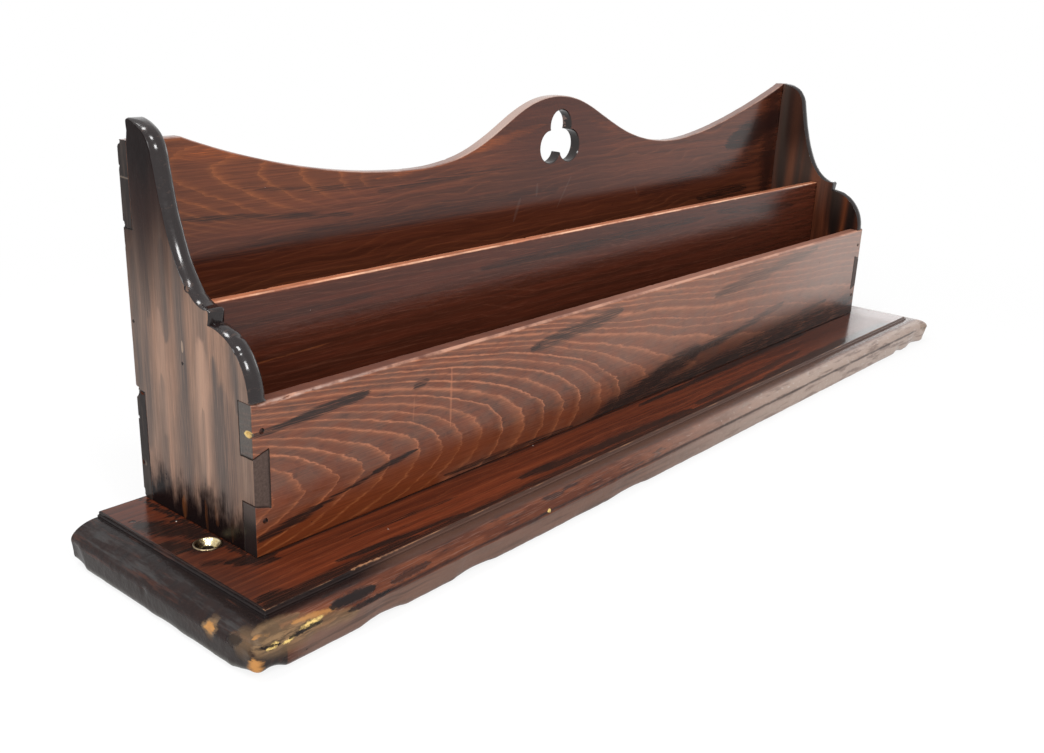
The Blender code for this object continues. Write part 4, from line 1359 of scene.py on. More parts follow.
# %% The group of growth rings
def rings_group():
    tree, given, result = new_group("growth_rings", "ShaderNodeTree", (
        ("Vector", "Vector", None), ("Lean", "Float", 1.0), ("Across", "Float", 0.0),
        ("Bow", "Float", 0.08), ("Bow Drop", "Float", 0.0), ("Bow Least", "Float", 0.02),
        ("Axis", "Float", 25.0), ("Axis Drop", "Float", 0.0), ("Axis Least", "Float", 0.0),
        ("Run Out", "Float", 1000.0), ("Run Out Lean", "Float", 1.0), ("Ring Width", "Float", 15.0),
        ("Line Width", "Float", 0.5), ("Wander", "Float", 3.0), ("Jag", "Float", 1.5),
        ("Uneven", "Float", 0.8), ("Seed", "Float", 0.0)),
        (("Line", "Float"), ("Late Wood", "Float"), ("Ring Tone", "Float")))
    x, y, z = split(given["Vector"])
    past = calc("MULTIPLY_ADD", calc("SUBTRACT", x, given["Run Out"]), given["Run Out Lean"],
                given["Run Out"])
    along = calc("SMOOTH_MIN", x, past, 60.0)
    axis = calc("MAXIMUM", calc("SUBTRACT", given["Axis"],
                calc("MULTIPLY", given["Axis Drop"], x)), given["Axis Least"])
    off_axis = calc("SUBTRACT", y, axis)
    bow = calc("MAXIMUM", calc("SUBTRACT", given["Bow"],
               calc("MULTIPLY", given["Bow Drop"], x)), given["Bow Least"])
    field = calc("MULTIPLY", calc("MULTIPLY", off_axis, off_axis), bow)
    field = calc("MULTIPLY_ADD", given["Lean"], along, field)
    field = calc("MULTIPLY_ADD", given["Across"], y, field)
    field = calc("MULTIPLY_ADD", z, 0.6, field)
    broad = stretched_noise(given["Vector"], (70, 18, 30), given["Seed"], 1.5)
    torn = stretched_noise(given["Vector"], (10, 2.6, 6), given["Seed"], 4.0, 0.62)
    field = calc("MULTIPLY_ADD", calc("SUBTRACT", broad, 0.5), given["Wander"], field)
    field = calc("MULTIPLY_ADD", calc("SUBTRACT", torn, 0.5), given["Jag"], field)
    phase = calc("ADD", calc("DIVIDE", field, given["Ring Width"]), given["Seed"])
    crowding = made("ShaderNodeTexNoise", {"W": phase, "Scale": 0.55, "Detail": 1.0}, "Fac",
                    noise_dimensions="1D")
    phase = calc("MULTIPLY_ADD", calc("SUBTRACT", crowding, 0.5), given["Uneven"], phase)
    ring = calc("FLOOR", phase)
    part = calc("SUBTRACT", phase, ring)
    chance = made("ShaderNodeTexWhiteNoise", {"W": ring}, "Value", noise_dimensions="1D")
    slope = calc("MULTIPLY_ADD", calc("MULTIPLY", bow, off_axis), 2.0, given["Across"])
    slope = calc("SQRT", calc("ADD", calc("MULTIPLY", slope, slope),
                 calc("MULTIPLY", given["Lean"], given["Lean"])))
    width = calc("DIVIDE", calc("MULTIPLY", given["Line Width"], slope), given["Ring Width"])
    width = calc("MINIMUM", width, 0.3)
    line = calc("SUBTRACT", 1.0, calc("DIVIDE", calc("ABSOLUTE",
                calc("SUBTRACT", part, 0.5)), width), clamp=True)
    patchy = stretched_noise(given["Vector"], (16, 3, 5), 3.7, 3.0, 0.6)
    strength = calc("MULTIPLY_ADD", chance, 0.65, 0.35)
    strength = calc("MULTIPLY", strength, step_between(patchy, 0.30, 0.58))
    before = calc("MULTIPLY", calc("LESS_THAN", part, 0.5), calc("POWER",
                  calc("MULTIPLY", part, 2.0), 2.2))
    tree.links.new(calc("MULTIPLY", line, strength), result["Line"])
    tree.links.new(calc("MULTIPLY", before, calc("MULTIPLY_ADD", patchy, 0.9, 0.45)),
                   result["Late Wood"])
    tree.links.new(chance, result["Ring Tone"])
    return tree


# %% [markdown]
# ### Fibres, brush strokes, worn arrises and specks
#
# Fibres are noise stretched thirty to one along the grain. A brush stroke is the distance to a
# line between two points, and it thins out towards its ends: it places stain, bare wood, cracks
# and scratches. A worn arris is found from the surface itself, because on an eased edge the normal
# points neither along the board's flat side nor across it.

# %% The groups of fibres, strokes, arrises and specks
def fibre_group():
    tree, given, result = new_group("long_fibres", "ShaderNodeTree", (
        ("Vector", "Vector", None), ("Seed", "Float", 0.0)),
        (("Fibre", "Float"), ("Hair", "Float"), ("Band", "Float"), ("Cloud", "Float"), ("Pore", "Float")))
    for title, size, detail, rough, low, high in (
            ("Fibre", (30, 0.60, 0.9), 3.0, 0.72, 0.30, 0.70),
            ("Hair", (16, 0.42, 0.6), 2.0, 0.6, 0.52, 0.70),
            ("Band", (190, 4.2, 7), 3.0, 0.62, 0.34, 0.66),
            ("Cloud", (150, 11, 14), 2.0, 0.5, 0.30, 0.68),
            ("Pore", (6, 0.35, 0.5), 1.0, 0.5, 0.66, 0.78)):
        raw = stretched_noise(given["Vector"], size, given["Seed"], detail, rough)
        tree.links.new(step_between(raw, low, high), result[title])
    return tree


def stroke_group():
    tree, given, result = new_group("brush_stroke", "ShaderNodeTree", (
        ("Vector", "Vector", None), ("Start", "Vector", None), ("End", "Vector", None),
        ("Width", "Float", 2.0), ("Soft", "Float", 0.5), ("Taper", "Float", 0.7)), (("Mask", "Float"),))
    run = vector_calc("SUBTRACT", given["End"], given["Start"])
    away = vector_calc("SUBTRACT", given["Vector"], given["Start"])
    length = calc("MAXIMUM", vector_calc("DOT_PRODUCT", run, run, output="Value"), 0.001)
    share = calc("DIVIDE", vector_calc("DOT_PRODUCT", away, run, output="Value"), length,
                 clamp=True)
    gap = vector_calc("SUBTRACT", away, vector_calc("SCALE", run, Scale=share))
    middle = calc("MULTIPLY", calc("MULTIPLY", share, calc("SUBTRACT", 1.0, share)), 4.0)
    middle = calc("SQRT", calc("MAXIMUM", middle, 0.02))
    width = calc("MULTIPLY", given["Width"], mixed(given["Taper"], 1.0, middle))
    gap = calc("DIVIDE", vector_calc("LENGTH", gap, output="Value"), width)
    edge = calc("SUBTRACT", 1.0, given["Soft"])
    far = calc("ADD", 1.0, given["Soft"])
    tree.links.new(step_between(gap, far, edge), result["Mask"])
    return tree


def arris_group():
    tree, given, result = new_group("worn_arrises", "ShaderNodeTree", (
        ("Vector", "Vector", None), ("Flat Side", "Vector", (0, 1, 0)), ("Patch", "Float", 12.0),
        ("Rim Start", "Float", 0.93)),
        (("Arris", "Float"), ("Rim", "Float")))
    normal = node(tree, "ShaderNodeNewGeometry").outputs["Normal"]
    facing = calc("ABSOLUTE", vector_calc("DOT_PRODUCT", normal, given["Flat Side"],
                  output="Value"))
    rim = step_between(facing, given["Rim Start"], calc("SUBTRACT", given["Rim Start"], 0.28))
    bent = calc("MULTIPLY", step_between(facing, 0.10, 0.45), step_between(facing, 0.985, 0.80))
    scaled = vector_calc("SCALE", given["Vector"], Scale=calc("DIVIDE", 1.0, given["Patch"]))
    patch = node(tree, "ShaderNodeTexNoise", {"Vector": scaled, "Scale": 1.0, "Detail": 5.0,
                                              "Roughness": 0.7})
    patch = step_between(patch.outputs["Fac"], 0.38, 0.58)
    tree.links.new(calc("MULTIPLY", bent, patch), result["Arris"])
    tree.links.new(rim, result["Rim"])
    return tree


def speck_group():
    tree, given, result = new_group("specks", "ShaderNodeTree", (
        ("Vector", "Vector", None), ("Spacing", "Float", 6.0), ("Size", "Float", 0.3),
        ("Share", "Float", 0.1), ("Seed", "Float", 0.0)), (("Mask", "Float"),))
    moved_on = vector_calc("ADD", given["Vector"], joined(X=given["Seed"], Y=given["Seed"]))
    scaled = vector_calc("SCALE", moved_on, Scale=calc("DIVIDE", 1.0, given["Spacing"]))
    cells = node(tree, "ShaderNodeTexVoronoi", {"Vector": scaled, "Scale": 1.0})
    chance, swell = split(cells.outputs["Color"])[:2]
    size = calc("DIVIDE", given["Size"], given["Spacing"])
    size = calc("MULTIPLY", size, calc("MULTIPLY_ADD", swell, 0.8, 0.5))
    spot = step_between(cells.outputs["Distance"], size, calc("MULTIPLY", size, 0.7))
    tree.links.new(calc("MULTIPLY", spot, calc("LESS_THAN", chance, given["Share"])), result["Mask"])
    return tree


def place_group(tree, group, **values):
    """Put a shader group in a tree. Its inputs are values or outputs of other nodes."""
    titled = {title.replace("_", " "): value for title, value in values.items()}
    return node(tree, "ShaderNodeGroup", titled, node_tree=group).outputs


growth_rings = rings_group()
long_fibres = fibre_group()
brush_stroke = stroke_group()
worn_arrises = arris_group()
specks = speck_group()

# %% [markdown]
# ### Joint lines
#
# Stain and dust gather where two boards meet, so every dovetail is drawn by a black line. The lines
# are computed from the same heights as the joints. Both ends of the rack are alike, so the group
# folds the right end onto the left one.

# %% The group of joint lines
def in_rack(height):
    """A height above the floor in metres, as millimetres above the base board."""
    return (height - BASE_THICK) * 1000


def joint_runs():
    inside = SIDE_THICK * 1000
    runs = []
    for face, inner, outs, ins, top in (
            (0.0, FRONT_THICK * 1000, front_out, front_in, front_top),
            (BOX_DEPTH * 1000, (BOX_DEPTH - BACK_THICK) * 1000, back_out, back_in, tail_top)):
        low, high = in_rack(outs[0]), in_rack(outs[1])
        low_in, high_in = in_rack(ins[0]), in_rack(ins[1])
        runs += [((0, inner, 0), (0, inner, low)), ((0, inner, high), (0, inner, in_rack(top))),
                 ((0, face, low), (0, inner, low)), ((0, face, high), (0, inner, high)),
                 ((0, face, low), (inside, face, low_in)), ((0, face, high), (inside, face, high_in)),
                 ((inside, face, low_in), (inside, face, high_in))]
    return runs


def joint_group():
    tree, given, result = new_group("joint_lines", "ShaderNodeTree", (
        ("Vector", "Vector", None), ("Width", "Float", 0.4)), (("Line", "Float"),))
    x, y, z = split(given["Vector"])
    folded = calc("MINIMUM", x, calc("SUBTRACT", BOX_LENGTH * 1000, x))
    vector = joined(X=folded, Y=y, Z=z)
    mask = 0.0
    for start, end in joint_runs():
        one = place_group(tree, brush_stroke, Vector=vector, Start=start, End=end, Width=given["Width"],
                          Soft=0.5, Taper=0.0)[0]
        mask = calc("MAXIMUM", mask, one)
    tree.links.new(mask, result["Line"])
    return tree


joint_lines = joint_group()
print("shader groups:", [g.name for g in bpy.data.node_groups if g.bl_idname == "ShaderNodeTree"])

# %% [markdown]
# ### Mixing a finish
#
# A finish is painted in layers, like the real one: wood first, then stain, streaks, wear and dust.
# In a few places sheen, highlights and shade are painted on as well.
# A small class holds the layers while they are mixed. Every layer is a mask with a colour, and it
# may also change the roughness.

# %% Layers of a finish
GRAIN_ORDERS = {"X": (0, 2, 1), "Z": (2, 1, 0), "flat": (0, 1, 2)}
PLANES = {"front": (0, None, 1), "side": (None, 0, 1), "field": (0, 1, None), "space": (0, 1, 2)}
RUBBED_SHARE = 0.85
RELIEF_UNIT = 0.0001


class Finish:
    """A varnished wood or a metal, painted layer by layer."""

    def __init__(self, name, colour, roughness, grain="X"):
        self.material = bpy.data.materials.new(name)
        self.material.use_nodes = True
        self.tree = self.material.node_tree
        self.shader = self.tree.nodes["Principled BSDF"]
        place = node(self.tree, "ShaderNodeTexCoord").outputs["Object"]
        corner = (-box_left * 1000, -box_front * 1000, -BASE_THICK * 1000)
        self.place = made("ShaderNodeMapping", {"Vector": place, "Location": corner,
                                                "Scale": (1000, 1000, 1000)})
        self.axes = split(self.place)
        order = GRAIN_ORDERS[grain]
        self.grain = joined(**{axis: self.axes[k] for axis, k in zip("XYZ", order)})
        self.ragged = self.place
        self.colour = (*colour, 1.0)
        self.roughness = roughness
        self.relief = 0.0

    def group(self, group, **values):
        return place_group(self.tree, group, **values)

    def fibres(self, seed):
        return self.group(long_fibres, Vector=self.grain, Seed=seed)

    def rings(self, **values):
        return self.group(growth_rings, Vector=self.grain, **values)

    def straight_rings(self, **values):
        """The lines of a board cut far from the tree's heart."""
        return self.rings(Across=1.0, Bow=0.0, Bow_Least=0.0, **values)

    def arrises(self, flat_side, patch, rim_start=0.93):
        return self.group(worn_arrises, Vector=self.place, Flat_Side=flat_side, Patch=patch,
                          Rim_Start=rim_start)

    def step(self, value, low, high):
        return step_between(value, low, high)

    def between(self, axis, low, high):
        """A soft step along one axis, in millimetres."""
        return self.step(self.axes["xyz".index(axis)], low, high)

    def scaled(self, value, factor, more):
        """value * factor + more"""
        return calc("MULTIPLY_ADD", value, factor, more)

    def both(self, *masks):
        return reduce(lambda made, mask: calc("MULTIPLY", made, mask), masks)

    def either(self, *masks):
        return reduce(lambda made, mask: calc("MAXIMUM", made, mask), masks)

    def noise(self, size, seed=0.0, detail=2.0, low=0.35, high=0.65):
        return step_between(stretched_noise(self.place, size, seed, detail, 0.6), low, high)

    def make_ragged(self, size, amount, seed):
        """Brush strokes painted after this have torn edges."""
        cloud = stretched_noise(self.place, size, seed, 4.0, 0.68, "Color")
        push = vector_calc("SUBTRACT", cloud, (0.5, 0.5, 0.5))
        push = vector_calc("MULTIPLY", push, amount)
        self.ragged = vector_calc("ADD", self.place, push)

    def strokes(self, plane, rows, soft=0.7, taper=0.7, level=0.0):
        """One mask for several strokes. A row is a start, an end, a width and a strength."""
        axes = PLANES[plane]
        count = 3 if plane == "space" else 2
        mask = 0.0
        for row in rows:
            points = [tuple(level if k is None else row[first + k] for k in axes) for first in (0, count)]
            one = self.group(brush_stroke, Vector=self.ragged, Start=points[0], End=points[1],
                             Width=row[-2], Soft=soft, Taper=taper)[0]
            mask = calc("MAXIMUM", mask, calc("MULTIPLY", one, row[-1]))
        return mask

    def frayed(self, mask, fibre):
        """Break the edge of a mask up into hairs."""
        hairy = calc("MULTIPLY", mask, calc("MULTIPLY_ADD", fibre, 0.9, 0.45))
        return step_between(hairy, 0.12, 0.85)

    def paint(self, mask, colour, strength, roughness=None):
        """One layer. Several masks are given as a tuple and count where all of them do."""
        factor = calc("MULTIPLY", self.both(*mask) if isinstance(mask, tuple) else mask, strength)
        self.colour = made("ShaderNodeMix", {0: factor, 6: self.colour, 7: (*colour, 1.0)}, 2,
                           data_type="RGBA")
        if roughness is not None:
            self.roughness = mixed(factor, self.roughness, roughness)

    def sink(self, mask, depth):
        """Lower the surface under a mask by a depth in tenths of a millimetre."""
        self.relief = calc("MULTIPLY_ADD", mask, -depth, self.relief)

    def rub(self, mask):
        """Where hands rub, most of the varnish's bumps go."""
        self.relief = mixed(calc("MULTIPLY", mask, RUBBED_SHARE), self.relief, 0.0)

    def spot(self, spacing, size, share, seed):
        return self.group(specks, Vector=self.place, Spacing=spacing, Size=size, Share=share, Seed=seed)[0]

    def joints(self):
        """The black lines along the dovetails."""
        line = self.group(joint_lines, Vector=self.ragged, Width=0.45)[0]
        self.paint(line, BLACK_STAIN, 0.9)
        self.sink(line, 2.5)

    def end_grain(self, axis, colour, strength):
        """Ends of boards drink the stain and turn nearly black."""
        normal = node(self.tree, "ShaderNodeNewGeometry").outputs["Normal"]
        facing = calc("ABSOLUTE", split(normal)["xyz".index(axis)])
        mask = step_between(facing, 0.60, 0.85)
        grit = self.noise((1.1, 1.1, 1.1), 21.0, 3.0, 0.3, 0.7)
        self.paint(mask, colour, strength, 0.35)
        self.paint((mask, grit), BLACK_STAIN, 0.4)
        return mask

    def surface(self, fibre_depth, lump_depth):
        """Relief of the varnish over the fibres, with dents and dust."""
        fibres = self.fibres(8.0)
        self.sink(fibres["Fibre"], fibre_depth)
        self.sink(fibres["Pore"], 2 * fibre_depth)
        self.sink(self.noise((5, 5, 5), 2.0, 3.0, 0.2, 0.8), lump_depth)
        dents = self.spot(9.0, 0.5, 0.10, 5.0)
        self.sink(dents, 1.6)
        self.paint(dents, BLACK_STAIN, 0.5)
        self.paint(self.spot(7.0, 0.2, 0.05, 31.0), DUST_AND_GLINT, 0.5, 0.6)

    def done(self, specular=0.5, metallic=0.0, coat=None, coat_roughness=0.10):
        for title, value in (("Base Color", self.colour), ("Roughness", self.roughness)):
            if isinstance(value, bpy.types.NodeSocket):
                self.tree.links.new(value, self.shader.inputs[title])
            else:
                self.shader.inputs[title].default_value = value
        self.shader.inputs["Specular IOR Level"].default_value = specular
        self.shader.inputs["Metallic"].default_value = metallic
        if coat is not None:
            self.tree.links.new(coat, self.shader.inputs["Coat Weight"])
            self.shader.inputs["Coat Roughness"].default_value = coat_roughness
        bumps = node(self.tree, "ShaderNodeBump", {"Height": self.relief, "Strength": 1.0,
                                                   "Distance": RELIEF_UNIT})
        self.tree.links.new(bumps.outputs[0], self.shader.inputs["Normal"])
        return self.material


# %% [markdown]
# ### The colours
#
# A few pots of colour serve the whole rack. They are written as they should look in plain light.

# %% Pots of colour
BLACK_STAIN = (0.012, 0.008, 0.007)
UMBER = (0.040, 0.013, 0.007)
SALMON = (0.580, 0.215, 0.105)
GREY_BROWN = (0.130, 0.086, 0.066)
PALE_WORN = (0.560, 0.400, 0.340)
FRESH_CHIP = (0.830, 0.580, 0.200)
DUST_AND_GLINT = (0.800, 0.760, 0.700)

# %% [markdown]
# ### The front board
#
# This board shows the figure best. Flames nest along it, with their tips to the right, each drawn
# by a torn salmon line. Black strokes were brushed over it with the grain.

# %% Finish of the front board
def front_finish():
    mix = Finish("front_finish", (0.215, 0.066, 0.034), 0.19, "X")
    figure = {"Vector": mix.grain, "Lean": 1.0, "Bow": 0.085, "Bow_Drop": 0.00016, "Bow_Least": 0.036,
              "Axis": 27.0, "Axis_Drop": 0.055, "Axis_Least": 6.0, "Run_Out": 290.0, "Run_Out_Lean": 0.22,
              "Wander": 17.0, "Jag": 10.0, "Seed": 4.0}
    rings = mix.group(growth_rings, Ring_Width=17.5, Line_Width=0.8, **figure)
    fine = mix.group(growth_rings, Ring_Width=5.6, Line_Width=0.55, **figure)
    fibres = mix.fibres(2.0)
    mix.paint(rings["Ring Tone"], UMBER, 0.30)
    mix.paint(mix.noise((18, 6, 7), 4.0, 3.0), GREY_BROWN, 0.45)
    mix.paint(mix.noise((9, 4, 4), 14.0, 4.0, 0.5, 0.72), (0.050, 0.032, 0.028), 0.55)
    fading = mix.scaled(mix.between("x", 520, 170), 0.45, 0.55)
    mix.paint((rings["Late Wood"], fading), (0.43, 0.152, 0.070), 0.85)
    mix.paint(fibres["Fibre"], (0.040, 0.015, 0.009), 0.40)
    upper_left = mix.both(mix.between("x", 110, 60), mix.between("z", 42, 54))
    clear = calc("SUBTRACT", 1.0, calc("MULTIPLY", upper_left, 0.65))
    mix.paint((fine["Line"], clear), SALMON, 0.07)
    mix.paint(fibres["Hair"], SALMON, 0.13)
    mix.paint((rings["Line"], clear, fading), (0.52, 0.195, 0.10), 0.85)
    mix.make_ragged((22, 8, 3.0), (16.0, 3.0, 3.6), 1.0)
    warm = mix.strokes("front", ((-10, 2, 110, 3, 14, 1.0), (40, 8, 160, 14, 10, 0.8),
                                 (150, 8, 260, 6, 8, 0.6), (0, 22, 60, 24, 6, 0.5)), 0.8)
    mix.paint(warm, (0.175, 0.034, 0.007), 0.88)
    mix.paint((warm, rings["Line"]), (0.42, 0.13, 0.04), 0.7)
    mix.paint((warm, fibres["Fibre"]), (0.07, 0.018, 0.006), 0.5)
    mix.paint(mix.strokes("front", ((300, 8, 560, 16, 11, 0.9), (230, 2, 320, 6, 7, 0.7)), 0.9), UMBER, 0.6)
    black = mix.strokes("front", (
        (0, 58.6, 34, 60.0, 1.5, 0.8), (20, 59.6, 66, 62.4, 2.8, 1.0), (0, 8.2, 36, 13.2, 2.4, 1.0),
        (28, 12.4, 76, 20.4, 1.1, 0.8), (68, 19.4, 98, 24.0, 1.6, 1.0), (97, 57.4, 106, 58.8, 2.4, 0.7),
        (188, 58.5, 272, 65, 4.4, 0.8), (240, -5, 336, 14, 8.0, 1.0), (314, 12, 370, 20, 7.0, 1.0),
        (355, 18, 424, 23, 3.4, 0.9), (410, 21, 490, 32, 3.4, 0.7), (386, 55, 476, 62, 5.4, 0.7),
        (450, 60.5, 536, 68, 4.6, 0.7), (330, 2, 480, 6, 4.4, 0.9), (535, 3, 618, 14, 8.0, 0.8),
        (476, 13, 565, 21, 3.0, 0.6), (120, 3, 230, 1, 2.0, 0.7), (300, 2, 640, 4, 8.5, 0.85),
        (430, 9, 580, 12, 6.0, 0.7)), 0.8)
    mix.paint(mix.frayed(black, fibres["Fibre"]), BLACK_STAIN, 0.92)
    mix.make_ragged((3, 3, 3), (1.0, 1.0, 1.0), 2.0)
    mix.paint(mix.strokes("front", ((123, 30, 123.4, 62, 0.7, 1.0), (96, 40, 97, 52, 0.5, 0.5)), 0.9),
              SALMON, 0.35)
    # Pale patches on the lower middle and the right end of the front: painted sheen, a reflection of the
    # white surroundings.
    haze = mix.both(mix.between("x", 150, 330), mix.between("z", 12, 40))
    mix.paint(haze, (0.46, 0.24, 0.16), 0.16)
    far_painted_sheen = mix.both(mix.between("x", 400, 590), mix.between("z", 8, 34))
    mix.paint(far_painted_sheen, (0.60, 0.52, 0.47), 0.24)
    mix.joints()
    mix.surface(0.12, 0.7)
    arris = mix.arrises((0, 1, 0), 42.0)
    top = mix.both(arris["Rim"], mix.between("z", 68, 70))
    mix.paint(top, (0.13, 0.050, 0.034), 0.85, 0.40)
    mix.paint((top, mix.between("x", 180, 330)), (0.34, 0.150, 0.100), 0.75, 0.42)
    mix.paint((arris["Arris"], mix.between("z", 68, 70)), (0.54, 0.28, 0.19), 0.85, 0.45)
    mix.rub(top)
    mix.make_ragged((5, 5, 2), (5.0, 1.0, 1.4), 12.0)
    worn = mix.strokes("front", ((4, 71.8, 30, 72.0, 1.0, 0.8), (22, 72.2, 84, 72.4, 0.9, 1.0)), 0.9)
    mix.paint((worn, mix.noise((7, 3, 1.4), 24.0, 4.0, 0.36, 0.6)), PALE_WORN, 0.8, 0.4)
    ends = mix.end_grain("x", (0.080, 0.078, 0.070), 0.85)
    mix.paint((ends, mix.between("z", 46, 40)), (0.062, 0.044, 0.038), 0.9)
    mix.paint((ends, mix.between("z", 22, 12)), (0.010, 0.006, 0.006), 0.95)
    chip = mix.strokes("space", ((-0.5, 0.5, 58.9, 0.3, 5, 58.6, 1.5, 1.0),), 0.3)
    mix.paint(chip, FRESH_CHIP, 0.75, 0.5)
    mix.sink(rings["Line"], 0.3)
    return mix.done(specular=0.28)


# %% [markdown]
# ### The sides
#
# The sides are stained a greyer brown, with straight black streaks up the grain. Round the scroll
# the stain lies thick and almost black, and hands have polished it. At the foot a dark, torn stain
# has crept up from the base.

# %% Finish of the sides
ON_INNER_FACE = (BOX_LENGTH - SIDE_THICK) * 1000


def side_finish():
    mix = Finish("side_finish", (0.470, 0.265, 0.176), 0.24, "Z")
    fibres = mix.fibres(12.0)
    mix.paint(fibres["Cloud"], (0.185, 0.145, 0.122), 0.75)
    mix.paint(fibres["Band"], (0.125, 0.088, 0.074), 0.50)
    mix.paint(fibres["Fibre"], (0.080, 0.048, 0.036), 0.42)
    mix.paint(fibres["Hair"], (0.62, 0.34, 0.22), 0.24)
    mix.make_ragged((8, 3.0, 30), (2.0, 2.0, 14.0), 3.0)
    outer = mix.between("x", 310, 300)
    inside = mix.between("x", 300, 310)
    streaks = mix.strokes("side", (
        (75, 164, 76.5, 96, 5.0, 1.0), (76.5, 108, 83, 30, 4.6, 0.7), (50, 134, 49.8, 50, 4.6, 1.0),
        (49.8, 70, 51, 14, 6.0, 0.9), (61, 134, 62, 88, 3.2, 0.9), (26, 88, 24, 56, 2.4, 0.9),
        (22, 74, 20, 14, 8.5, 0.9), (12.5, 100, 9, 66, 2.6, 0.8), (68, 68, 70, 18, 3.0, 0.55),
        (86, 124, 88, 24, 4.2, 0.8), (36, 60, 37, 24, 1.8, 0.6), (14, 48, 13, 22, 2.8, 0.6)), 0.9)
    streaks = mix.both(streaks, mix.scaled(fibres["Fibre"], 0.4, 0.6))
    tan = mix.strokes("side", ((35, 92, 35, 26, 5.0, 1.0), (67, 100, 68, 40, 3.4, 0.6)), 0.9)
    mix.paint((tan, outer), (0.60, 0.36, 0.25), 0.45)
    mix.paint((streaks, outer), (0.058, 0.060, 0.062), 0.88)
    mix.paint(inside, (0.120, 0.030, 0.012), 0.95)
    mix.paint((inside, fibres["Band"]), (0.030, 0.010, 0.007), 0.75)
    mix.paint((inside, fibres["Fibre"]), UMBER, 0.6)
    warm = mix.strokes("side", ((68, 190, 69, 90, 4, 1.0), (42, 150, 44, 80, 4, 0.8),
                                (15, 104, 15, 60, 3, 0.8)), level=ON_INNER_FACE)
    mix.paint((warm, inside), (0.170, 0.046, 0.016), 0.75)
    inner_streaks = mix.strokes("side", ((79, 190, 76, 92, 5, 1.0), (60, 168, 61, 100, 2.2, 0.9),
                                            (52, 154, 54, 86, 4.4, 0.9), (24, 114, 22, 66, 7, 1.0),
                                            (8, 104, 8, 56, 5, 1.0)), level=ON_INNER_FACE)
    mix.paint((inner_streaks, inside), BLACK_STAIN, 0.95)
    lean = mix.scaled(mix.axes[1], 0.35, mix.axes[2])
    lean = mix.scaled(fibres["Cloud"], -12.0, lean)
    mix.paint(mix.step(lean, 80, 130), (0.150, 0.105, 0.085), 0.30)
    mix.paint((mix.step(lean, 108, 170), outer), (0.016, 0.006, 0.005), 0.97)
    mix.paint((mix.step(lean, 165, 190), outer), (0.007, 0.003, 0.003), 1.0)
    head = mix.both(mix.step(lean, 132, 170), mix.between("y", 80, 74), inside)
    mix.paint(head, (0.020, 0.008, 0.006), 0.75)
    foot_noise = mix.noise((6, 6, 14), 5.0, 4.0, 0.15, 0.85)
    foot = mix.scaled(foot_noise, -15.0, mix.axes[2])
    foot = mix.scaled(fibres["Cloud"], -7.0, foot)
    foot = mix.scaled(fibres["Fibre"], -3.0, foot)
    haze = mix.both(mix.step(foot, 19, -6), outer)
    mix.paint(haze, (0.050, 0.032, 0.030), 0.50)
    foot = mix.both(mix.step(foot, 11, -6), outer)
    mix.paint(foot, (0.008, 0.004, 0.004), 1.0)
    glow = mix.strokes("side", ((56, 0, 56, 12, 2.2, 1.0), (38, -1, 38, 15, 1.6, 0.7),
                                (29, 6, 30, 16, 2.0, 0.6), (18, 2, 18, 12, 1.6, 0.5)))
    mix.paint(mix.frayed(glow, fibres["Hair"]), (0.23, 0.075, 0.022), 0.7)
    mix.make_ragged((2.0, 2.0, 2.0), (0.8, 0.8, 0.8), 7.0)
    mix.paint(mix.strokes("side", ((49.5, 90, 49.5, 85, 0.8, 1.0),), 0.6), (0.42, 0.30, 0.22), 0.6)
    dots = mix.strokes("side", ((50, 80, 50, 79, 0.9, 1.0), (89, 91.5, 89, 90.5, 1.0, 1.0),
                                (70.2, 19, 70.2, 18.6, 0.6, 1.0), (70.4, 16.8, 70.4, 16.2, 0.6, 1.0)), 0.4)
    mix.paint(dots, BLACK_STAIN, 0.95)
    mix.sink(dots, 4.0)
    mix.joints()
    mix.surface(0.16, 0.6)
    arris = mix.arrises((1, 0, 0), 9.0, 0.992)
    on_scroll = mix.both(mix.between("z", 70.5, 73.5), mix.between("y", 83.9, 83.0))
    on_scroll = mix.either(on_scroll, mix.between("z", 175.5, 177.0))
    scroll = mix.both(arris["Rim"], on_scroll)
    mix.paint(scroll, (0.010, 0.005, 0.005), 1.0, 0.30)
    marks = mix.noise((7, 3, 4), 14.0, 5.0, 0.58, 0.66)
    mix.paint((scroll, marks), (0.10, 0.070, 0.060), 0.45)
    mix.sink(mix.both(scroll, mix.noise((3.2, 3.2, 3.2), 9.0, 3.0, 0.3, 0.7)), 1.3)
    pin_face = mix.end_grain("y", (0.105, 0.080, 0.068), 0.0)
    on_joint = mix.both(pin_face, mix.between("z", 71.5, 70.5))
    mix.paint(on_joint, (0.088, 0.062, 0.054), 0.90, 0.28)
    mix.paint((on_joint, mix.noise((1.2, 1.2, 1.2), 21.0, 3.0)), BLACK_STAIN, 0.35)
    worn_through = mix.scaled(marks, -0.35, 0.85)
    return mix.done(specular=0.05, coat=mix.both(scroll, worn_through), coat_roughness=0.13)


# %% [markdown]
# ### The back board and the divider
#
# Both have long, quiet grain. The back board shows a pale flame at its upper left end and an
# orange streak that climbs towards the crest. Their top edges are worn through to bare wood.

# %% Finishes of the back board and the divider
ON_BACK = 84
ON_DIVIDER = 42


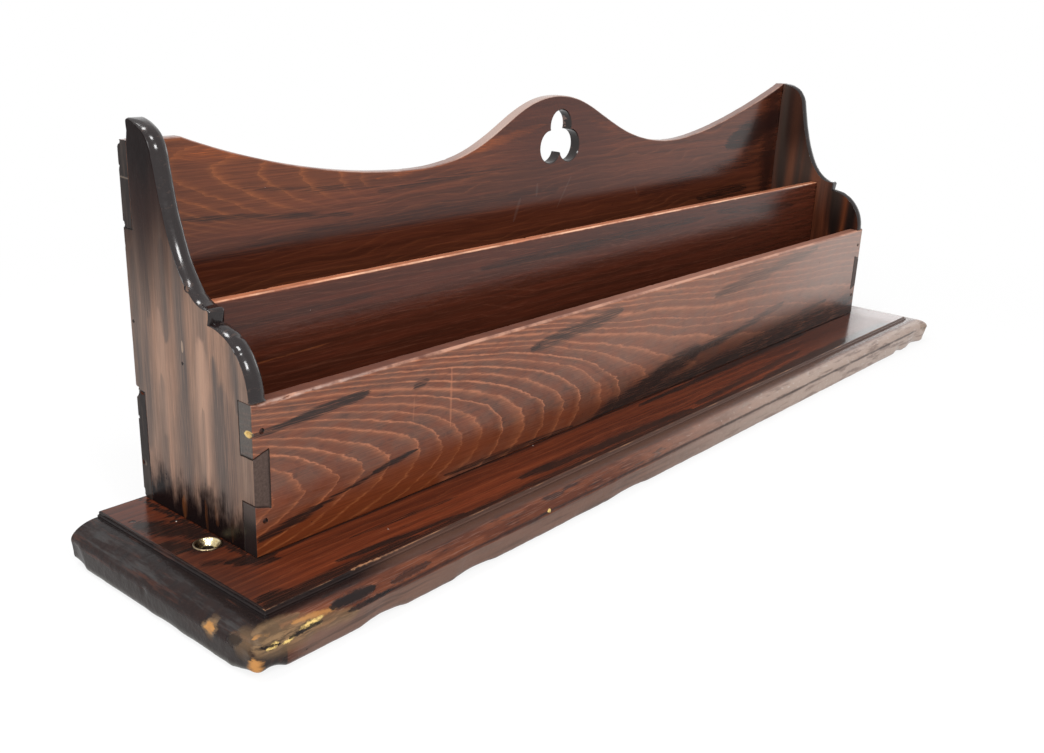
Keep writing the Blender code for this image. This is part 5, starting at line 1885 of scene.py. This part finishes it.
def back_finish():
    mix = Finish("back_finish", (0.155, 0.040, 0.018), 0.19, "X")
    straight = mix.straight_rings(Lean=-0.05, Ring_Width=4.6, Line_Width=0.5, Wander=20.0, Jag=1.6,
                                  Seed=9.0)
    flames = mix.rings(Lean=-1.0, Bow=0.15, Bow_Least=0.05, Bow_Drop=0.0004,
                          Axis=162.0, Axis_Drop=0.08, Axis_Least=100.0, Ring_Width=24.0, Line_Width=2.6,
                          Wander=34.0, Jag=13.0, Seed=2.9)
    fibres = mix.fibres(22.0)
    mix.paint(fibres["Band"], UMBER, 0.65)
    mix.paint(straight["Late Wood"], (0.23, 0.062, 0.022), 0.5)
    mix.paint(straight["Line"], (0.27, 0.085, 0.04), 0.40)
    mix.paint(fibres["Fibre"], (0.030, 0.010, 0.007), 0.48)
    mix.paint(fibres["Hair"], (0.30, 0.10, 0.05), 0.15)
    high = mix.step(mix.scaled(mix.axes[0], -0.10, mix.axes[2]), 118, 138)
    figure = mix.both(high, mix.between("x", 200, 80))
    mix.paint(figure, (0.20, 0.055, 0.018), 0.55)
    mix.paint((figure, flames["Late Wood"]), (0.33, 0.092, 0.026), 0.8)
    mix.paint((figure, flames["Line"]), (0.40, 0.125, 0.038), 0.35)
    mix.paint((figure, fibres["Fibre"]), (0.06, 0.018, 0.009), 0.55)
    mix.make_ragged((26, 8, 3.0), (22.0, 3.0, 4.0), 4.0)
    orange = mix.strokes("front", ((150, 145, 216, 152, 2.4, 0.7), (204, 151, 290, 167, 3.2, 1.0),
                                   (340, 169, 376, 159, 3.4, 0.6), (16, 168, 66, 164, 4, 0.7)),
                         level=ON_BACK)
    mix.paint(mix.frayed(orange, fibres["Hair"]), (0.36, 0.085, 0.018), 0.75)
    black = mix.strokes("front", (
        (14, 138, 130, 128, 2.2, 0.6), (20, 116, 310, 124, 6, 0.6), (150, 138, 300, 146, 2.6, 0.5),
        (410, 112, 610, 128, 7, 0.6), (530, 140, 612, 158, 10, 1.0), (490, 100, 566, 102, 5, 0.6),
        (60, 148, 150, 140, 1.6, 0.5)), level=ON_BACK)
    mix.paint(mix.frayed(black, fibres["Fibre"]), BLACK_STAIN, 0.85)
    # A dark band across the back just above the divider: painted shade, in place of the dark reflection of
    # the divider and the front.
    mix.paint(mix.strokes("front", ((20, 112, 610, 118, 12, 1.0),), 0.9, level=ON_BACK),
              (0.06, 0.012, 0.006), 0.45)
    mix.paint(mix.strokes("front", ((292, 174, 330, 174, 40, 1.0),), 0.7, 0.0, ON_BACK),
              (0.050, 0.013, 0.009), 0.66)
    # Darker next to the right side, in the corner: painted shade.
    painted_corner_shade = mix.strokes("front", ((600, 96, 598, 205, 15, 1.0), (560, 132, 604, 168, 12, 0.7)), 0.9,
                           level=ON_BACK)
    mix.paint(painted_corner_shade, (0.018, 0.006, 0.005), 0.75)
    mix.joints()
    mix.surface(0.12, 0.6)
    arris = mix.arrises((0, 1, 0), 40.0)
    hole = mix.strokes("front", ((300, 152, 322, 152, 13.0, 1.0), (310.6, 150, 310.6, 165, 13.0, 1.0)),
                       0.02, 0.0, ON_BACK)
    outside = calc("SUBTRACT", 1.0, hole)
    top = mix.both(arris["Rim"], mix.between("z", 142, 146), outside)
    mix.paint(top, (0.20, 0.095, 0.070), 0.9, 0.32)
    mix.paint((arris["Arris"], top), (0.46, 0.29, 0.23), 0.7, 0.4)
    slope = mix.both(mix.between("x", 190, 250), mix.between("x", 340, 300), top)
    mix.paint(slope, (0.50, 0.38, 0.33), 0.65, 0.42)
    mix.paint((arris["Rim"], hole), (0.020, 0.017, 0.016), 0.95, 0.14)
    ends = mix.end_grain("x", (0.030, 0.020, 0.016), 0.0)
    ends = mix.both(ends, outside, mix.either(mix.between("x", 1.5, 0.8),
                                           mix.between("x", 618.5, 619.2)))
    mix.paint(ends, (0.014, 0.009, 0.008), 1.0, 0.35)
    mix.paint((ends, mix.noise((4, 3, 22), 6.0, 4.0, 0.45, 0.65)), (0.060, 0.042, 0.034), 0.5)
    mix.make_ragged((1.5, 1.5, 1.5), (0.8, 0.8, 0.8), 3.0)
    mix.paint(mix.strokes("space", ((0, 93, 158.6, 0, 84, 158.2, 0.4, 1.0),
                                    (0, 88, 18, 0, 88, 20, 1.1, 0.9)), 0.4), (0.17, 0.13, 0.10), 0.6)
    mix.paint(mix.strokes("front", ((266, 108, 272, 122, 1.2, 0.5), (288, 122, 288.6, 130, 1.0, 0.5),
                                    (310, 112, 324, 132, 0.6, 0.5), (400, 118, 404, 112, 0.8, 0.4)), 0.9,
                          level=ON_BACK), DUST_AND_GLINT, 0.05, 0.5)
    mix.rub(top)
    varnished = mix.scaled(ends, -0.42, 0.55)
    return mix.done(specular=0.05, coat=varnished, coat_roughness=0.16)


def divider_finish():
    mix = Finish("divider_finish", (0.110, 0.025, 0.012), 0.19, "X")
    straight = mix.straight_rings(Lean=0.06, Ring_Width=3.8, Line_Width=0.42, Wander=16.0, Jag=1.6,
                                  Seed=1.0)
    fibres = mix.fibres(32.0)
    mix.paint(fibres["Band"], UMBER, 0.65)
    mix.paint(straight["Line"], (0.26, 0.090, 0.05), 0.35)
    mix.paint(fibres["Fibre"], (0.028, 0.009, 0.006), 0.48)
    mix.paint(fibres["Hair"], (0.28, 0.10, 0.06), 0.15)
    mix.make_ragged((26, 8, 2.0), (20.0, 3.0, 2.0), 6.0)
    mix.paint(mix.strokes("front", ((20, 73.1, 82, 74.8, 0.35, 1.0),), level=ON_DIVIDER),
              (0.30, 0.09, 0.03), 0.4)
    black = mix.strokes("front", ((190, 96, 430, 98, 4, 0.6), (450, 100, 570, 92, 4, 0.6),
                                     (10, 92, 110, 95, 2.4, 0.5)), level=ON_DIVIDER)
    mix.paint(mix.frayed(black, fibres["Fibre"]), BLACK_STAIN, 0.75)
    mix.surface(0.12, 0.6)
    arris = mix.arrises((0, 1, 0), 44.0)
    top = mix.both(arris["Rim"], mix.between("z", 104, 105.5))
    mix.rub(top)
    mix.paint(top, (0.56, 0.205, 0.105), 0.9, 0.28)
    mix.paint((arris["Arris"], top), (0.85, 0.50, 0.32), 0.9, 0.3)
    mix.paint((top, mix.noise((34, 6, 6), 3.0, 4.0, 0.45, 0.7)), (0.14, 0.05, 0.03), 0.5)
    return mix.done(specular=0.30)


# %% [markdown]
# ### The base board
#
# The field is a warm red-brown with long grain and a black band along its edge. The moulding has
# had a hard life: scuffed at the left end, rubbed pale along the front, and knocked down
# to bare pine at the front left corner. A grey sheen of the white surroundings is painted on the
# left end and its foot, and a paler sheen with dust on the front and right moulding.

# %% Finish of the base board
def base_finish():
    mix = Finish("base_finish", (0.165, 0.034, 0.012), 0.16, "flat")
    straight = mix.straight_rings(Lean=0.03, Ring_Width=5.4, Line_Width=0.5, Wander=14.0, Jag=1.8, Seed=6.0)
    fibres = mix.fibres(42.0)
    mix.paint(fibres["Band"], (0.048, 0.010, 0.005), 0.70)
    mix.paint(straight["Late Wood"], (0.25, 0.060, 0.020), 0.45)
    mix.paint(straight["Line"], (0.30, 0.090, 0.035), 0.25)
    mix.paint(fibres["Fibre"], (0.030, 0.009, 0.006), 0.50)
    mix.paint(fibres["Hair"], (0.34, 0.11, 0.05), 0.15)
    mix.paint(mix.between("x", 10, -24), (0.030, 0.018, 0.015), 0.45)
    mix.paint(mix.between("x", 400, 540), (0.042, 0.018, 0.013), 0.45)
    mix.make_ragged((34, 4, 6), (24.0, 4.0, 3.0), 5.0)
    black = mix.strokes("field", ((-24, -35.5, 66, -36.0, 4.4, 1.0), (50, -36.5, 430, -36.4, 3.4, 0.9),
                                  (400, -36, 610, -35, 6.0, 1.0), (22, -27, 98, -34, 2.6, 0.9),
                                  (150, -26, 310, -33, 4.2, 1.0), (320, -30, 480, -22, 4, 0.7),
                                  (-26, 40, -4, 22, 7, 0.9), (-18, 66, -2, 34, 7, 1.0),
                                  (-10, 6, 6, -6, 6, 0.9), (290, -6, 530, -2, 3, 0.8),
                                  (-3, 92, -1, 0, 2.4, 0.9), (40, -14, 110, -18, 1.6, 0.6),
                                  (-22, 14, -8, 6, 3, 0.6), (-21, -30, -6, -36, 6, 0.9)))
    mix.paint(mix.frayed(black, fibres["Fibre"]), BLACK_STAIN, 0.93)
    mix.paint(mix.strokes("field", ((-1, -0.6, 621, -0.6, 0.9, 1.0),), taper=0), BLACK_STAIN, 0.8)
    edge_left = mix.between("x", -23.2, -23.8)
    edge_right = mix.between("x", 642.4, 643.0)
    edge_front = mix.between("y", -37.3, -37.9)
    moulding = mix.either(mix.either(edge_left, edge_right), edge_front)
    mix.paint(moulding, (0.085, 0.026, 0.014), 0.85, 0.22)
    mix.paint((moulding, mix.noise((36, 5, 5), 7.0, 4.0, 0.42, 0.62)), (0.21, 0.064, 0.029), 0.55)
    mix.paint((moulding, mix.noise((26, 4, 3), 17.0, 5.0, 0.52, 0.64)), (0.020, 0.013, 0.013), 0.8)
    mix.paint((moulding, fibres["Hair"]), (0.36, 0.22, 0.17), 0.25)
    over_edge = mix.either(mix.between("y", -37.0, -39.5), edge_right)
    to_right = mix.both(mix.between("x", 180, 460), over_edge)
    shoulder = mix.both(moulding, mix.between("z", -4.0, -2.7))
    mix.paint(shoulder, (0.010, 0.007, 0.007), 0.93, 0.2)
    mix.paint((shoulder, mix.between("x", 20, 55)), (0.150, 0.075, 0.052), 0.50)
    mix.paint((edge_left, mix.between("z", -0.4, -1.0)), (0.012, 0.008, 0.008), 0.94, 0.22)
    # A grey band across the middle of the left moulding: partly scuffs, partly a painted sheen of the white
    # surroundings.
    scuffs_and_sheen = mix.both(edge_left, mix.between("z", -2.4, -4.2), mix.between("z", -8.6, -6.0),
                          mix.noise((5, 24, 2.4), 12.0, 5.0, 0.44, 0.64))
    mix.paint(scuffs_and_sheen, (0.090, 0.092, 0.092), 0.38, 0.30)
    mix.paint((edge_left, mix.noise((4, 26, 3), 22.0, 4.0, 0.54, 0.68)), (0.075, 0.028, 0.018), 0.6)
    turn = mix.between("x", -14, -36)
    # A grey-green band along the foot at the left end: painted sheen, where the lit foot mirrors the white
    # floor.
    painted_foot_sheen = mix.both(turn, mix.between("z", -16.5, -20.5), mix.noise((9, 30, 7), 12.0, 4.0, 0.22, 0.55))
    mix.paint(painted_foot_sheen, (0.120, 0.118, 0.102), 0.75, 0.42)
    upright = mix.between("z", -10.4, -11.6)
    mix.paint((upright, turn, mix.between("z", -20, -17)), (0.022, 0.016, 0.014), 0.80, 0.35)
    face = mix.both(upright, mix.either(edge_front, edge_right), mix.between("x", -24, -10))
    mix.paint(face, (0.165, 0.100, 0.076), 0.8, 0.40)
    mix.paint((face, mix.noise((50, 8, 2.2), 15.0, 5.0, 0.45, 0.66)), (0.055, 0.038, 0.032), 0.65)
    # Paler towards the right on the upright face and the lower ovolo: painted sheen of the white
    # surroundings, with dust and scuffs.
    mix.paint((face, mix.between("x", 300, 640)), (0.27, 0.22, 0.19), 0.6)
    dust_and_sheen = mix.both(to_right, mix.between("z", -2.9, -4.4))
    mix.paint(dust_and_sheen, (0.39, 0.295, 0.245), 0.90, 0.35)
    mix.paint((dust_and_sheen, mix.noise((26, 4, 3), 27.0, 5.0, 0.50, 0.62)), (0.12, 0.070, 0.054), 0.6)
    mix.paint((dust_and_sheen, mix.noise((6, 3, 1.6), 37.0, 5.0, 0.58, 0.66)), (0.50, 0.44, 0.40), 0.5)
    mix.make_ragged((9, 9, 1.2), (4.0, 4.0, 0.9), 8.0)
    # A thin dark line along the front moulding just above the nose: painted shade in the crease.
    mix.paint(mix.strokes("space", ((20, -50.5, -9.6, 642, -50.5, -9.6, 0.8, 1.0),), 0.6, 0.0),
                 (0.018, 0.009, 0.008), 0.75, 0.4)
    mix.make_ragged((7, 6, 2.2), (9.0, 5.0, 3.4), 9.0)
    bare = mix.strokes("space", ((-37, -47, -6, -38.4, -36, -8, 5.5, 0.45),
                                 (-38, -49, -8, -6, -50.5, -8.0, 5.0, 1.0),
                                 (-36, -43, -4.6, -14, -45, -4.6, 2.6, 0.8),
                                 (-10, -50, -8.6, 14, -51, -11.6, 2.8, 0.7),
                                 (-40, -24, -8, -39, -17, -9.4, 3.6, 1.0),
                                 (-40, -51, -10, -39.5, -50.5, -20, 2.6, 1.0),
                                 (652, -50, -9, 668, -50, -12, 3, 0.6)), 0.85)
    mix.paint(bare, (0.270, 0.165, 0.085), 0.85, 0.45)
    mix.paint((bare, mix.noise((10, 6, 1.4), 18.0, 5.0, 0.40, 0.56)), (0.070, 0.045, 0.028), 0.85)
    tan = mix.strokes("space", ((-40, -23, -8, -39.4, -18, -9.6, 2.4, 0.9),
                                (-37.2, -47.6, -13, -36.4, -46.8, -21, 3.0, 1.0),
                                (-36, -45, -5.4, -28, -47, -6.6, 1.4, 0.7),
                                (-18, -47, -5.4, 4, -49, -6.4, 1.2, 0.6)), 0.6)
    mix.paint(tan, (0.56, 0.26, 0.075), 0.85, 0.5)
    mix.make_ragged((2.2, 2.2, 1.3), (4.4, 3.0, 3.0), 10.0)
    fresh = mix.strokes("space", (
        (-34, -51, -9.4, -27, -51, -8.2, 1.3, 1.0), (-26, -51, -10.4, -18, -51, -8.0, 0.9, 1.0),
        (-16, -50.5, -7.4, -1, -50.5, -5.8, 1.5, 1.0), (-38.5, -50, -7.6, -36, -50.5, -6.6, 0.9, 0.9),
        (-8, -50, -9.6, -4, -50, -9.0, 0.6, 0.7), (144, -50.5, -9, 147, -50.5, -8.6, 0.8, 0.9)), 0.4)
    mix.paint(fresh, FRESH_CHIP, 0.9, 0.5)
    mix.sink(fresh, 3.0)
    cracks = mix.strokes("space", (
        (-22, -50.5, -8.8, -2, -51, -7.6, 0.8, 1.0), (2, -48.5, -5.4, 26, -48.5, -5.4, 2.6, 1.0),
        (-38, -50, -7.2, -26, -50.5, -9.4, 0.5, 1.0), (8, -51, -10, 34, -51, -9.4, 1.2, 0.9),
        (36, -49.5, -7, 60, -49, -6.4, 1.4, 0.7), (-39, -40, -7, -39, -33, -9, 2.6, 0.8)), 0.4)
    mix.paint(cracks, (0.012, 0.009, 0.009), 0.95, 0.3)
    mix.sink(cracks, 5.0)
    dent = mix.strokes("field", ((-20.5, 71.5, -17.5, 70.5, 0.9, 1.0),), 0.4)
    mix.paint(dent, BLACK_STAIN, 0.9)
    mix.sink(dent, 4.0)
    # Tiny white spots on the field and the step: painted glints.
    glints = mix.strokes("field", ((-4.8, 56.4, -4.2, 56.4, 0.35, 1.0), (144, -38.2, 145, -38.2, 0.4, 1.0),
                                   (190, -1.4, 190.6, -1.4, 0.4, 1.0), (60, -20, 60.4, -20, 0.35, 1.0)),
                         0.3)
    mix.paint(glints, DUST_AND_GLINT, 0.9)
    corner = mix.arrises((0, 0, 1), 22.0)
    rubbed = mix.both(corner["Arris"], mix.between("z", -0.6, -0.2),
                      mix.noise((40, 40, 40), 33.0, 3.0, 0.45, 0.6))
    rubbed = mix.both(rubbed, mix.between("y", -36.0, -37.0))
    streak = mix.strokes("field", ((22, -37.5, 40, -37.9, 0.5, 1.0), (40, -38.3, 60, -38.7, 0.5, 0.5)), 0.8)
    rubbed = mix.either(rubbed, streak)
    mix.paint((corner["Arris"], mix.between("z", -0.6, -0.2)), (0.030, 0.016, 0.012), 0.8)
    mix.paint(rubbed, (0.46, 0.23, 0.12), 0.8, 0.25)
    mix.surface(0.12, 0.4)
    mix.sink(mix.both(moulding, mix.noise((4, 4, 4), 2.6, 4.0, 0.2, 0.8)), 1.4)
    dents = mix.both(mix.spot(8.0, 0.55, 0.16, 15.0), moulding)
    mix.sink(dents, 2.5)
    mix.paint(dents, BLACK_STAIN, 0.6)
    far_end = mix.either(mix.between("x", 608, 630), mix.both(moulding, mix.between("x", 380, 640)))
    return mix.done(specular=0.14, coat=calc("MULTIPLY", far_end, 0.20), coat_roughness=0.20)


# %% [markdown]
# ### Brass and iron
#
# The cups are tarnished brass. A highlight with gold edges is painted on the far wall of the seat,
# and painted shade on its near side and deep in the cup. The pins and screws are plain iron, gone dull.

# %% Finishes of the metals
def brass_finish():
    mix = Finish("brass_finish", (0.80, 0.68, 0.40), 0.16, "flat")
    mix.paint(mix.noise((2.2, 2.2, 2.2), 3.0, 4.0, 0.40, 0.66), (0.34, 0.24, 0.11), 0.6, 0.38)
    # Near black deep in the cup and its hole: painted shade.
    mix.paint(mix.between("z", -2.0, -2.5), (0.022, 0.016, 0.012), 0.97, 0.5)
    mix.paint(mix.between("z", 0.0, 0.16), (0.23, 0.17, 0.12), 0.85, 0.35)
    # A white patch with gold edges on the far wall of the seat: painted highlight.
    seat = mix.between("z", 0.05, -0.3)
    painted_highlight = mix.strokes("field", ((-6.0, 30.0, -4.0, 29.6, 2.0, 1.0),), 0.5)
    mix.paint((painted_highlight, seat), (0.95, 0.90, 0.74), 0.9, 0.12)
    painted_glint_edges = mix.strokes("field", ((-7.2, 29.8, -6.6, 32.4, 0.9, 1.0), (-4.6, 27.3, -2.2, 27.8, 0.9, 1.0)),
                       0.5)
    mix.paint((painted_glint_edges, seat), (0.60, 0.40, 0.07), 0.85)
    # Dark arcs on the near side of the seat: painted shade.
    shade = mix.strokes("field", ((-11.6, 31.8, -11.6, 25.5, 2.4, 1.0), (-11.2, 24.6, -6.0, 22.0, 2.3, 1.0),
                                     (-4.4, 22.8, -2.0, 25.4, 1.6, 0.7)), 0.6)
    mix.paint((shade, seat), (0.050, 0.038, 0.030), 0.92)
    mix.sink(calc("SINE", calc("MULTIPLY", mix.axes[2], 42.0)), 0.12)
    mix.sink(mix.noise((0.6, 0.6, 0.6), 1.0, 2.0, 0.3, 0.7), 0.12)
    return mix.done(metallic=1.0)


def iron_finish():
    mix = Finish("iron_finish", (0.050, 0.030, 0.026), 0.45, "flat")
    rust = mix.noise((0.9, 0.9, 0.9), 4.0, 4.0, 0.45, 0.65)
    mix.paint(rust, (0.12, 0.035, 0.020), 0.6, 0.8)
    mix.sink(rust, 0.2)
    return mix.done(metallic=0.7)


finishes = {"front": front_finish(), "side": side_finish(), "back": back_finish(),
            "divider": divider_finish(), "base": base_finish(), "brass": brass_finish(),
            "iron": iron_finish()}
print("finishes:", {name: len(finish.node_tree.nodes) for name, finish in finishes.items()})

# %% [markdown]
# ## Every piece on its body
#
# The rack has no moving parts, so all pieces ride on the one body.

# %% Dress the nodes
SHARP_ANGLE = math.radians(42)
FACE_WEIGHT = 100


def dress(piece, finish, slot, *nodes):
    piece.data.materials.clear()
    piece.data.materials.append(finish)
    piece.data.shade_smooth()
    piece.data.set_sharp_from_angle(angle=SHARP_ANGLE)
    weighted = piece.modifiers.new("flat faces stay flat", "WEIGHTED_NORMAL")
    weighted.keep_sharp = True
    weighted.weight = FACE_WEIGHT
    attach(piece, "root")
    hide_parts(*nodes)


boards = {"left_side": (left_side, "side"), "right_side": (right_side, "side"),
          "front_board": (front_board, "front"), "back_board": (back_board, "back"),
          "divider": (divider, "divider"), "base_board": (base_board, "base")}
for name, (board, wood) in boards.items():
    dress(board, finishes[wood], wood + "_wood", name)
for end, cup in cups.items():
    dress(cup, finishes["brass"], "brass", end + "_screw_cup")
for fasteners, ending in ((pins, "_pin"), (screws, "_base_screw")):
    dress(fasteners, finishes["iron"], "iron", *[name for name in frame["nodes"] if name.endswith(ending)])
print(len(boards), "boards,", len(cups), "cups, pins and screws")

# %% [markdown]
# ## Floor, world and lamps
#
# The rack stood in a white studio, so the floor and the world are white and the varnish mirrors
# them. Soft lamps from above and from the left give the worn edges their bright lines.

# %% Floor, world and lamps
FLOOR_REACH = 6
FLOOR_COLOUR = (0.92, 0.92, 0.92, 1)
FLOOR_ROUGHNESS = 0.9
WHITE_NEAR = 0.84
WHITE_FROM = 0.40
WHITE_PAST = 0.80
DAYLIGHT = 0.75
LAMPS = (("low_window", (-0.54, -1.12, 0.95), (-0.1, 0.0, 0.1), (0.24, 0.20), 4.6),
         ("high_window", (-0.58, -0.68, 1.45), (-0.1, 0.0, 0.1), (0.24, 0.20), 4.6),
         ("overhead_softbox", (-0.48, 0.30, 1.35), (-0.1, 0.0, 0.1), (0.24, 0.24), 4.0),
         ("left_softbox", (-1.40, -0.30, 0.80), (-0.2, 0.0, 0.1), (0.50, 0.50), 4.0),
         ("far_softbox", (1.75, 0.16, 0.44), (0.3, -0.05, 0.02), (0.80, 0.34), 2.0))

corners = [(x * FLOOR_REACH, y * FLOOR_REACH, 0) for x, y in ((-1, -1), (1, -1), (1, 1), (-1, 1))]
floor_mesh = bpy.data.meshes.new("floor")
floor_mesh.from_pydata(corners, [], [(0, 1, 2, 3)])
floor = placed(floor_mesh, "floor")
floor_finish = bpy.data.materials.new("floor_finish")
floor_finish.use_nodes = True
floor_tree = floor_finish.node_tree
floor_shader = floor_tree.nodes["Principled BSDF"]
floor_shader.inputs["Base Color"].default_value = FLOOR_COLOUR
floor_shader.inputs["Roughness"].default_value = FLOOR_ROUGHNESS
floor_shader.inputs["Specular IOR Level"].default_value = 0.0
floor.data.materials.append(floor_finish)


def looked_at(tree):
    """1 for the camera, for mirrors and for glass, and 0 for light that falls on the rack."""
    path = tree.nodes.new("ShaderNodeLightPath").outputs
    return calc("MAXIMUM", calc("MAXIMUM", path["Is Camera Ray"], path["Is Glossy Ray"]),
                path["Is Transmission Ray"])


place = node(floor_tree, "ShaderNodeTexCoord").outputs["Object"]
away = step_between(vector_calc("LENGTH", place, output="Value"), WHITE_FROM, WHITE_PAST)
share = calc("MULTIPLY", looked_at(floor_tree), mixed(away, WHITE_NEAR, 1.0))
white = node(floor_tree, "ShaderNodeEmission", {"Color": (1, 1, 1, 1), "Strength": 1.0})
blend = made("ShaderNodeMixShader", {0: share, 1: floor_shader.outputs[0], 2: white.outputs[0]})
floor_tree.links.new(blend, floor_tree.nodes["Material Output"].inputs["Surface"])

world = bpy.data.worlds.new("studio")
scene.world = world
world.use_nodes = True
sky = world.node_tree
sky.nodes.clear()
strength = mixed(looked_at(sky), DAYLIGHT, 1.0)
background = node(sky, "ShaderNodeBackground", {"Color": (1, 1, 1, 1), "Strength": strength})
node(sky, "ShaderNodeOutputWorld", {"Surface": background.outputs[0]})

for title, place, target, size, watts in LAMPS:
    data = bpy.data.lights.new(title, "AREA")
    data.shape = "RECTANGLE"
    data.size, data.size_y = size
    data.energy = watts
    lamp = bpy.data.objects.new(title, data)
    scene.collection.objects.link(lamp)
    aim = (Vector(target) - Vector(place)).to_track_quat("-Z", "Y")
    lamp.matrix_world = Matrix.Translation(place) @ aim.to_matrix().to_4x4()
print(len(LAMPS), "lamps")
